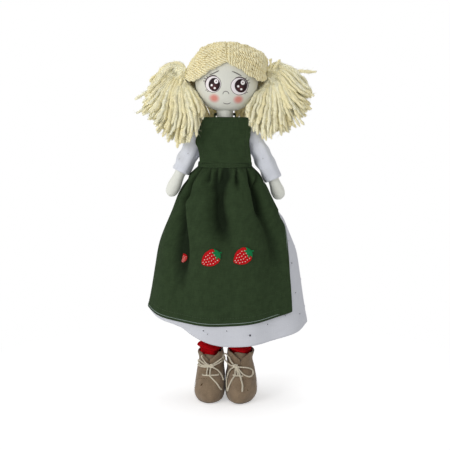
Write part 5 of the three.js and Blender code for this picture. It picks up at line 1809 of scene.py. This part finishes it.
def strand_routes(bunch, side):
    """Routes from the tie for every strand of a pigtail: the bunch, the nape and a few strays."""
    chance = np.random.default_rng(bunch["seed"])
    tie = tie_place(side)
    routes = [bunch_routes(chance, side, tie, np.array(bunch["ends"], float), bunch["lifts"])]
    routes.append(nape_routes(chance, side, tie))
    for out, fall, lift in bunch["strays"]:
        keys = ((0, 0, 0), (side * 12, -4, 10 + lift * 0.4), (side * out * 0.62, -8, fall + lift),
                (side * out, -6, fall))
        routes.append(bowed(*[tie + key for key in keys]))
    routes = np.concatenate(routes)
    sway = np.stack([waviness(routes + k * 77, 24, bunch["seed"] * 10 + k) for k in range(3)], 2)
    curl = np.stack([waviness(routes + k * 31, 8, bunch["seed"] * 20 + k) for k in range(3)], 2)
    loose = np.sin(np.linspace(0, math.pi / 2, STRAND_STEPS))[:, None] ** 1.2
    return clear_of_head(routes + (sway * 1.6 + curl * 0.55) * loose, YARN_RADIUS * 0.8)


FIBRE = [(0, 1.0), (120, 1.0), (240, 1.0)]
FIBRES_A_SIDE = 9000


def make_fluff(name, body, paths, count, seed):
    """Fine fibres that stand off the yarn, so that its outline is soft."""
    chance = np.random.default_rng(seed)
    strand = chance.integers(0, paths.shape[0], count)
    at = chance.integers(2, paths.shape[1] - 2, count)
    way = unit(paths[strand, at + 1] - paths[strand, at - 1])
    off = unit(np.cross(way, chance.normal(size=(count, 3))))
    length = chance.uniform(1.2, 3.4, count)[:, None]
    near = paths[strand, at] + off * STRAND_RADIUS * 0.8
    routes = np.stack([near, near + (off * 0.75 + way * 0.5) * length * 0.5,
                       near + (off * 0.9 + way * 1.1) * length * 0.75 + chance.normal(0, 0.5, (count, 3)),
                       near + (off + way * 1.2) * length + chance.normal(0, 1.0, (count, 3))], 1)
    fibres = threads(routes, 0.16 * np.array([1, 0.9, 0.7, 0.3]), FIBRE, None, chance.uniform(0.2, 1, count))
    return new_piece(name, fibres, yarn, body, "hair_yarn", tinted=True)


def make_pigtail(name, bunch):
    """Three pieces of strands: those on top, those lower down, and those at the head with the nape's."""
    side = SIDES[name]
    routes = strand_routes(bunch, side)
    tones = np.random.default_rng(bunch["seed"] + 50).uniform(0, 1, len(routes))
    thick = through([(0, 0.7), (0.1, 0.95), (0.3, 1.1), (0.86, 1.18), (0.95, 1.05), (1, 0.55)])
    radii = STRAND_RADIUS * thick(evenly(STRAND_STEPS))
    radii = radii * (1 + 0.24 * waviness(routes, 3.4, bunch["seed"] * 30))
    in_bunch = np.arange(len(routes)) < STRANDS
    at_nape = (np.arange(len(routes)) < STRANDS + NAPE_STRANDS) & ~in_bunch
    fan = np.concatenate([FAN, at_nape[STRANDS:]])
    sorts = {"upper": fan < 0.35, "lower": (fan >= 0.35) & (fan <= 0.7), "inner": fan > 0.7}
    faces = 0
    for part, chosen in sorts.items():
        body = "body" if part == "inner" else f"pigtail_{name}"
        hair = threads(routes[chosen], radii[chosen], PLIED, STRAND_PITCH, tones[chosen])
        # Painted shade: the strands behind the neck are tinted towards the groove's darker colour.
        hair[3][:, 1] += np.repeat(at_nape[chosen], len(hair[0]) // chosen.sum()) * 0.3
        strands = new_piece(f"pigtail_{part}_{name}", hair, yarn, body, "hair_yarn",
                            *([f"pigtail_{name}"] if part == "upper" else []), tinted=True)
        fluff = make_fluff(f"pigtail_{part}_fluff_{name}", body, routes[chosen],
                           int(FIBRES_A_SIDE * chosen.mean()), bunch["seed"] + 60)
        for piece in (strands, fluff):
            tuple(tie_place(side) * MM)
            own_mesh(piece)
        faces += len(strands.data.polygons)
    return faces


for tail_name, tail_bunch in PIGTAILS.items():
    print("the", tail_name, "pigtail's strands have", make_pigtail(tail_name, tail_bunch), "faces")

# %% [markdown]
# ## Ties
#
# A few turns of the same yarn bind each bunch. A real tie also leaves small knotted ends, which make
# the outline of the hair look handmade.

# %% Ties
LOOSE_ENDS = {
    "left": [[(0.5, -4, 5.5), (1.0, -8, 12), (0.4, -9, 18)], [(2, -4, 5.5), (7, -8, 12), (11, -9, 17)]],
    "right": [[(1, -5, -3), (3, -9, -6), (5, -9, -12)]],
}


def make_tie(name, side):
    turn = np.linspace(0, TURN * 3.2, 120)
    middle = tie_place(side)
    coil = middle + points_at(np.linspace(-2.3, 2.3, 120) * side, 7.6 * np.cos(turn), 7.6 * np.sin(turn))
    parts = [threads(coil, 1.15, FINE_PLIED, 5, 0.25)]
    for end in LOOSE_ENDS[name]:
        path = smooth_route(middle + np.array(end) * [side, 1, 1], 16)
        parts.append(threads(path, 1.5, FINE_PLIED, 6, 0.3))
        curl = 1.2 * points_at(np.cos(turn[:40]), np.sin(turn[:40]), np.linspace(-0.6, 0.9, 40))
        parts.append(threads(path[-1] + [0, 0, 0.6] + curl, 1.0, FINE_PLIED, 6, 0.2))
    new_piece(f"yarn_tie_{name}", joined(*parts), yarn, "body", "hair_binding", f"hair_tie_{name}",
              tinted=True)


for tie_name, tie_side in SIDES.items():
    make_tie(tie_name, tie_side)
print("two ties")

# %% [markdown]
# ## Legs and socks
#
# The legs are plain stuffed calico. The socks are ribbed knitting that has slipped down, so they
# fold into soft rings above the boots. The rings are waves that climb and fall as they go round.

# %% The boots' form
BOOT_HEIGHT, BOOT_FRONT, BOOT_BACK, BOOT_HALF_WIDTH = 61.0, 43.5, 22.5, 18.7
BOOT_SQUARENESS = 2.3
SOLE_THICKNESS, FELT_THICKNESS = 2.6, 2.4
LEG_OFFSET, SOCK_TOP = 20.0, 106.0
BOOT_LEVELS = np.array([
    (0, 0.87, 0.9, 0.83), (0.03, 0.915, 0.94, 0.88), (0.08, 0.965, 0.985, 0.95), (0.19, 1, 1, 1),
    (0.31, 0.975, 0.995, 0.985), (0.42, 0.88, 0.98, 0.93), (0.52, 0.71, 0.96, 0.88),
    (0.62, 0.545, 0.935, 0.85), (0.75, 0.43, 0.89, 0.82), (0.88, 0.385, 0.85, 0.805), (1, 0.37, 0.82, 0.81),
]) * [BOOT_HEIGHT, BOOT_FRONT, BOOT_BACK, BOOT_HALF_WIDTH]
boot_front, boot_back, boot_half_width = (through(BOOT_LEVELS[:, [0, k]]) for k in (1, 2, 3))


def boot_point(angle, z, inset=0.0):
    """A point on the boot's form, from its own middle, at an angle from the toe and a height."""
    half_depth, middle = (boot_front(z) + boot_back(z)) / 2 - inset, (boot_back(z) - boot_front(z)) / 2
    x = (boot_half_width(z) - inset) * spow(np.sin(angle), 2 / BOOT_SQUARENESS)
    return points_at(x, middle - half_depth * spow(np.cos(angle), 2 / BOOT_SQUARENESS), z)


BOOT_SPREAD = {
    "right": through([(0, 0.02), (12, 0.043), (20, 0.108), (28, 0.205), (38, 0.27), (52, 0.27), (62, 0.2)]),
    "left": through([(0, 0.0), (10, 0.08), (24, 0.17), (40, 0.17), (62, 0.16)]),
}
RIM_DROP = {"right": 4.6, "left": 2.2}


def in_its_boot(points, name):
    """Gives a boot's points their own shape: wider at the doll's left, and narrow at the toe's tip."""
    points = points.copy()
    x, y, z = (points[..., k] for k in range(3))
    inner = (0.026 + 0.12 * ramp(z, 12, 16)) * (name == "left")
    wider = 1 + BOOT_SPREAD[name](z) * np.clip(x / 8, 0, 1) + inner * np.clip(-x / 8, 0, 1)
    tip = np.clip((-22 - y) / 22, 0, 1) ** 1.5 * np.clip((26 - z) / 16, 0, 1)
    points[..., 0] = x * wider * (1 - 0.34 * tip) - 3.0 * tip * (name == "left")
    if name == "right":
        points[..., 1] = np.where(y < -14, -14 + (y + 14) * 0.88, y)
    return points + [SIDES[name] * LEG_OFFSET, 0, 0]


def boot_face(x, z, out):
    """The boot's outside at a place seen from the front."""
    half_depth, middle = (boot_front(z) + boot_back(z)) / 2, (boot_back(z) - boot_front(z)) / 2
    share = np.minimum(0.995, np.abs(x) / boot_half_width(z))
    forward = half_depth * (1 - share ** BOOT_SQUARENESS) ** (1 / BOOT_SQUARENESS)
    return points_at(x, middle - forward - out, z)


ANKLE_Y = (float(boot_back(BOOT_HEIGHT)) - float(boot_front(BOOT_HEIGHT)) + 2.3) / 2
leg_middle = through([(BOOT_HEIGHT, ANKLE_Y), (HIP, 0)])


def foot_rings(angle, z, inset):
    """A foot inside the boot, with room for the tongue in front."""
    return boot_point(angle, z[:, None], inset + 2.3 * np.maximum(0, np.cos(angle)) ** 0.6)


def make_leg(name, side):
    angle = round_angles(44)[None, :]
    z = np.linspace(66, HIP, 44)
    radius = through([(BOOT_HEIGHT, 10.2), (66, 8.2), (100, 8.2), (112, 11.0), (150, 14.5), (HIP, 16.5)])(z)
    leg = level_rings(radius, radius, 0, leg_middle(z), z, 2, 44)
    dome = np.array([0.3, 0.55, 0.75, 0.9, 0.98])
    radius = 16.5 * np.sqrt(1 - dome ** 2)
    top = level_rings(radius, radius, 0, 0, HIP + 16.5 * dome, 2, 44)
    rings = np.concatenate([foot_rings(angle, np.linspace(4.6, BOOT_HEIGHT, 26), 4.6), leg, top])
    rings = rings + (waviness(rings, 22, 90 + side) * 0.3)[..., None] * [1, 1, 0] + [side * LEG_OFFSET, 0, 0]
    body = f"leg_{name}"
    piece = new_piece(f"stuffed_leg_{name}", stuffed(rings, 90, 240), calico, body, "skin_cloth", body)


def make_sock(name, side):
    angle = round_angles(96)[None, :]
    z = np.linspace(63, SOCK_TOP, 56)
    cuff = level_rings(12.0, 12.0, 0, leg_middle(z), z, 2, 96)
    rings = np.concatenate([foot_rings(angle, np.linspace(4.0, BOOT_HEIGHT - 1, 24), 3.4), cuff])
    z = rings[..., 2]
    slouch = ramp(z, 57, 5) * np.clip((108 - z) / 30, 0.25, 1)
    wrinkle = np.sin(z * 0.52 + 1.7 * np.sin(angle + side) + 0.9 * np.sin(2 * angle - side)) * 2.7
    wrinkle = wrinkle + np.sin(z * 1.7 - 2 * angle * side) * 0.35
    rings = rings + points_at(np.sin(angle), -np.cos(angle), 0) * (
        (wrinkle + 0.55) * slouch + np.cos(angle * 32) * 0.18)[..., None]
    parts = cloth(rings[::-1] + [side * LEG_OFFSET, 0, 0], 0.9, (78, 118), closed=True)
    sock = new_piece(f"knitted_sock_{name}", parts, knit, f"leg_{name}", "sock_knit", f"sock_{name}")


for leg_name, leg_side in SIDES.items():
    make_leg(leg_name, leg_side)
    make_sock(leg_name, leg_side)
print("legs and socks in place")

# %% [markdown]
# ## Boots
#
# The boots are cut from soft felt: a vamp over the toes, a quarter round the heel that meets in
# front at the laces, a tongue under the gap and a flat sole. Each part follows the same boot form,
# so their edges meet. The edge line between vamp and quarter is where the seam runs.

# %% The cut lines of the upper
UPPER_BOTTOM = SOLE_THICKNESS + 0.1
SEAM_KEYS = [(0, 0.1), (0.23, 0.22), (0.4, 0.36), (0.5, 0.52), (0.55, 0.75), (0.58, 1.1)]
seam_forward = through([(z * BOOT_HEIGHT, y * BOOT_FRONT) for z, y in SEAM_KEYS])


def seam_height(angle):
    """The height of the vamp's seam on the boot at an angle from the toe."""
    z = np.linspace(0, 36, 240)
    y = boot_point(np.asarray(angle)[..., None], z)[..., 1]
    above = -y < seam_forward(z)
    return z[np.argmax(above, axis=-1)]


VAMP_REACH = math.radians(112)
TOP_FLARE = through([(0, 0.9), (47, 0.9), (50, 1.6), (56, 6.5), (61, 9.6), (66, 10.5)])


def shell_points(angle, z, inset):
    """Points on the boot, a little uneven, as felt is thick and soft."""
    points = boot_point(angle, z, inset)
    sag = waviness(points, 17, 200) * 0.9 + waviness(points, 6, 201) * 0.3
    return points + unit(points - boot_point(angle, z, inset + 5)) * sag[..., None]


def felt_sheet(part, name, form, thickness):
    """One cut part of a boot's upper, with its cloth places laid on a flat piece of its size."""
    grid = in_its_boot(form * [SIDES[name], 1, 1], name)
    flat = flat_size(grid)
    piece = new_piece(f"felt_{part}_{name}", cloth(grid, thickness, flat), felt, f"leg_{name}", "boot_felt",
                      f"boot_{part}_{name}")


def vamp_form():
    angle, v = np.linspace(-1, 1, 90)[None, :] * VAMP_REACH, evenly(44)[:, None]
    top = np.maximum(seam_height(angle[0])[None, :] - 0.2, UPPER_BOTTOM + 1.2)
    return shell_points(angle + 0 * v, between(top, UPPER_BOTTOM, v), FELT_THICKNESS / 2)


def quarter_form(name, side):
    """The quarter, from one facing round the heel to the other. Its corners turn out above the knot."""
    u, v = evenly(150)[None, :], evenly(64)[:, None]
    turn = u * TURN
    off_toe = half_turned(turn)
    low = np.where(np.abs(off_toe) < VAMP_REACH, seam_height(off_toe[0])[None, :] + 0.2, UPPER_BOTTOM)
    rim = BOOT_HEIGHT + 0.8 * np.sin(2 * turn + side) - 1.2 * bell(turn - math.pi, 0.9)
    outer = (turn if side > 0 else TURN - turn) + 0.5
    dip = np.exp(-((outer % TURN - 0.5 - (5.2 if side < 0 else 0.4)) / 0.9) ** 2)
    z = between(rim - RIM_DROP[name] * dip, np.maximum(low, UPPER_BOTTOM), v)
    front = np.arcsin(np.clip(TOP_FLARE(z) / boot_half_width(z), 0, 0.95) ** (BOOT_SQUARENESS / 2))
    quarter = shell_points(between(front, TURN - front, u), z, FELT_THICKNESS / 2)
    flap = np.exp(-(np.minimum(turn, TURN - turn) / 0.75) ** 2) * ramp(z, 50, 11) ** 1.5
    return quarter + points_at(np.sign(math.pi - turn) * flap * 1.2, flap * -2.2, 0)


def tongue_form(name, side):
    u, v = np.linspace(-1, 1, 40)[None, :], evenly(36)[:, None]
    top = BOOT_HEIGHT - RIM_DROP[name] - 1.6 + 1.8 * (1 - u ** 2) - 0.9 * np.sin(2.1 * u * side + 0.4)
    tongue = boot_point(u * math.pi * 0.21 * (1.0 - 0.15 * v), between(top, 36.6, v), 2.9 + 0.75)
    tongue[..., 1] -= 0.8 * ramp(tongue[..., 2], 50, 12) ** 2
    return tongue


def make_sole(name, side):
    z = np.array([0.02, 0.25, 0.8, 1.6, 2.2, 2.55])
    inset = np.array([1.5, 1.0, 0.75, 0.75, 0.95, 1.4])
    rings = boot_point(round_angles(90)[None, :], 1.3 + 0 * z[:, None], inset[:, None])
    rings[..., 2] = z[:, None]
    parts = stuffed(in_its_boot(rings * [side, 1, 1], name), 180, 8)
    new_piece(f"felt_sole_{name}", parts, sole_felt, f"leg_{name}", "boot_sole", f"boot_sole_{name}")


for leg_name, leg_side in SIDES.items():
    felt_sheet("vamp", leg_name, vamp_form(), FELT_THICKNESS - 0.2)
    felt_sheet("quarter", leg_name, quarter_form(leg_name, leg_side), FELT_THICKNESS - 0.2)
    felt_sheet("tongue", leg_name, tongue_form(leg_name, leg_side), 1.5)
    make_sole(leg_name, leg_side)
print("the boots' uppers, tongues and soles are made")


# %% Seams and darts of the boots
DARTS = {"right": [(-11.3, 21.8), (-8.4, 25.4)], "left": [(7.6, 20.2), (12.7, 13.8)]}


def make_boot_seams(name, side):
    angle = np.linspace(-VAMP_REACH, VAMP_REACH, 240)
    angle = angle[seam_height(angle) > 9]
    below = boot_point(angle, seam_height(angle) - 2.2, -0.5)
    welt = boot_point(np.linspace(0, TURN, 220), np.full(220, 5.0), -0.25)
    lines = [in_its_boot(line * [side, 1, 1], name) for line in (below, welt)]
    sewn(f"boot_seam_stitches_{name}", lines, brown_thread, f"leg_{name}", "boot_felt", 2.0, 1.3, 0.2)
    x, z = np.linspace(*DARTS[name], 9).T
    swell = 0.75 * np.array([0.2, 0.6, 0.9, 1, 1, 1, 0.9, 0.6, 0.2])
    dart = threads(in_its_boot(boot_face(x, z, 0.15), name), swell)
    new_piece(f"boot_darts_{name}", dart, brown_thread, f"leg_{name}", "boot_felt")


make_boot_seams("right", -1)
make_boot_seams("left", 1)

# %% [markdown]
# ## Laces
#
# The laces are plied cord, threaded through two pairs of holes and tied in a bow. Each stretch is a
# route drawn over the boot's face: a place seen from the front and a lift off the felt.
# The two bows are tied differently, as they are on the doll.

# %% Lace routes
LACE_RADIUS = 1.0
LACES = {
    "right": [
        [(-8.4, 34, -1.5), (-7.6, 34, 1.0), (0.4, 34, 1.0), (8.6, 34, 1.0), (9.4, 34, -1.5)],
        [(-2.9, 34, 1.6), (-2.9, 38, 1.3), (-1.2, 44, 1.6)],
        [(0.9, 34, 1.6), (1.1, 38, 1.3), (1.8, 44, 1.6)],
        [(-7.6, 57, -1.2), (-9.6, 55.5, 1.2), (-6.4, 50, 1.4), (-1, 45.6, 2.2), (2.6, 44.6, 2.6)],
        [(2.2, 44.3, 2.6), (-4, 44.4, 2.2), (-10.5, 45, 1.8), (-14.4, 48.2, 2.2), (-12.6, 50.2, 2.6),
         (-8, 47.8, 2.2), (-2, 45, 2.4), (2.4, 44.3, 2.6)],
        [(2.4, 44.1, 2.8), (-4, 43.1, 2.0), (-10, 43.0, 1.8), (-15.0, 43.2, 2.6)],
        [(2.8, 44.8, 2.8), (7.4, 48.8, 2.4), (11.8, 51.8, 3.4), (15.2, 52.6, 4.6), (15.6, 50.4, 4.4),
         (11, 48.2, 3.0), (4.2, 44.6, 2.8)],
        [(3.4, 43.2, 2.8), (8.2, 39.4, 1.6), (12.2, 33.6, 1.4), (15.2, 27, 2.2)],
        [(0.8, 33.6, 1.4), (4.6, 30, 1.2), (8.6, 25.4, 1.1), (12.8, 20, 1.2), (15.6, 16.4, 1.6)],
    ],
    "left": [
        [(-8.4, 34, -1.5), (-7.6, 34, 1.0), (-2.6, 34, 1.0), (1.6, 33.8, 1.0), (2.4, 33.7, -1.5)],
        [(-6.6, 34.4, 1.6), (-6.3, 38.6, 1.3), (-6, 43.6, 1.8)],
        [(-3.2, 34.2, 1.6), (-4.2, 38.4, 1.3), (-5.2, 43.6, 1.8)],
        [(-6.6, 44.6, 2.8), (-10.6, 49, 2.6), (-13, 53.6, 3.6), (-17.4, 57.4, 7.4), (-19.6, 54, 8.4),
         (-16.4, 47.6, 6.0), (-11.6, 44.6, 3.0), (-7, 44.2, 2.8)],
        [(-5.6, 44, 2.8), (0.6, 43.2, 2.2), (7.2, 42.2, 2.0), (12.6, 38.6, 2.2), (13.4, 34.6, 2.4),
         (9.2, 32.8, 2.0), (3.4, 35.4, 1.8), (-2.4, 41, 2.2), (-5.4, 43.6, 2.8)],
        [(-7.4, 43.6, 2.6), (-12.4, 38, 2.0), (-15.4, 29, 2.2), (-16.6, 20, 3.6), (-17.2, 14.4, 4.6)],
        [(-5, 43.6, 2.8), (-1.6, 37, 1.8), (0.6, 30, 1.4), (2.4, 23.4, 1.2), (3.2, 18.4, 1.6)],
        [(-5.4, 43.8, 3.0), (-2.4, 38, 2.4), (0.4, 30.6, 2.0), (2.0, 25, 1.8), (2.6, 20.6, 2.0)],
        [(-6.8, 33.8, 1.4), (-11, 27.6, 1.2), (-14.4, 21, 1.8), (-16.4, 15.4, 3.0)],
    ],
}
KNOTS = {"right": (2.6, 44.3), "left": (-6.0, 44.2)}


def make_lace(name):
    parts = []
    for keys in LACES[name]:
        x, z, lift = np.array(keys, float).T
        route = boot_face(x, z, lift + LACE_RADIUS)
        path = smooth_route(route, int(along(route)[-1] / 0.5))
        parts.append(threads(in_its_boot(path, name), LACE_RADIUS, FINE_PLIED, 4.0, 0.6))
    turn = np.linspace(0, TURN * 1.6, 40)
    for lean in (0.0, 1.3):
        knot = boot_face(*KNOTS[name], 3.0) + points_at(
            1.7 * np.cos(turn), 0.9 * np.sin(turn * 0.9), 1.5 * np.sin(turn + lean))
        parts.append(threads(in_its_boot(knot, name), LACE_RADIUS * 1.05, FINE_PLIED, 4.0, 0.5))
    new_piece(f"tied_lace_{name}", joined(*parts), cord, f"leg_{name}", "boot_lace", f"boot_lace_{name}",
              tinted=True)


for leg_name in SIDES:
    make_lace(leg_name)
print("laces tied")
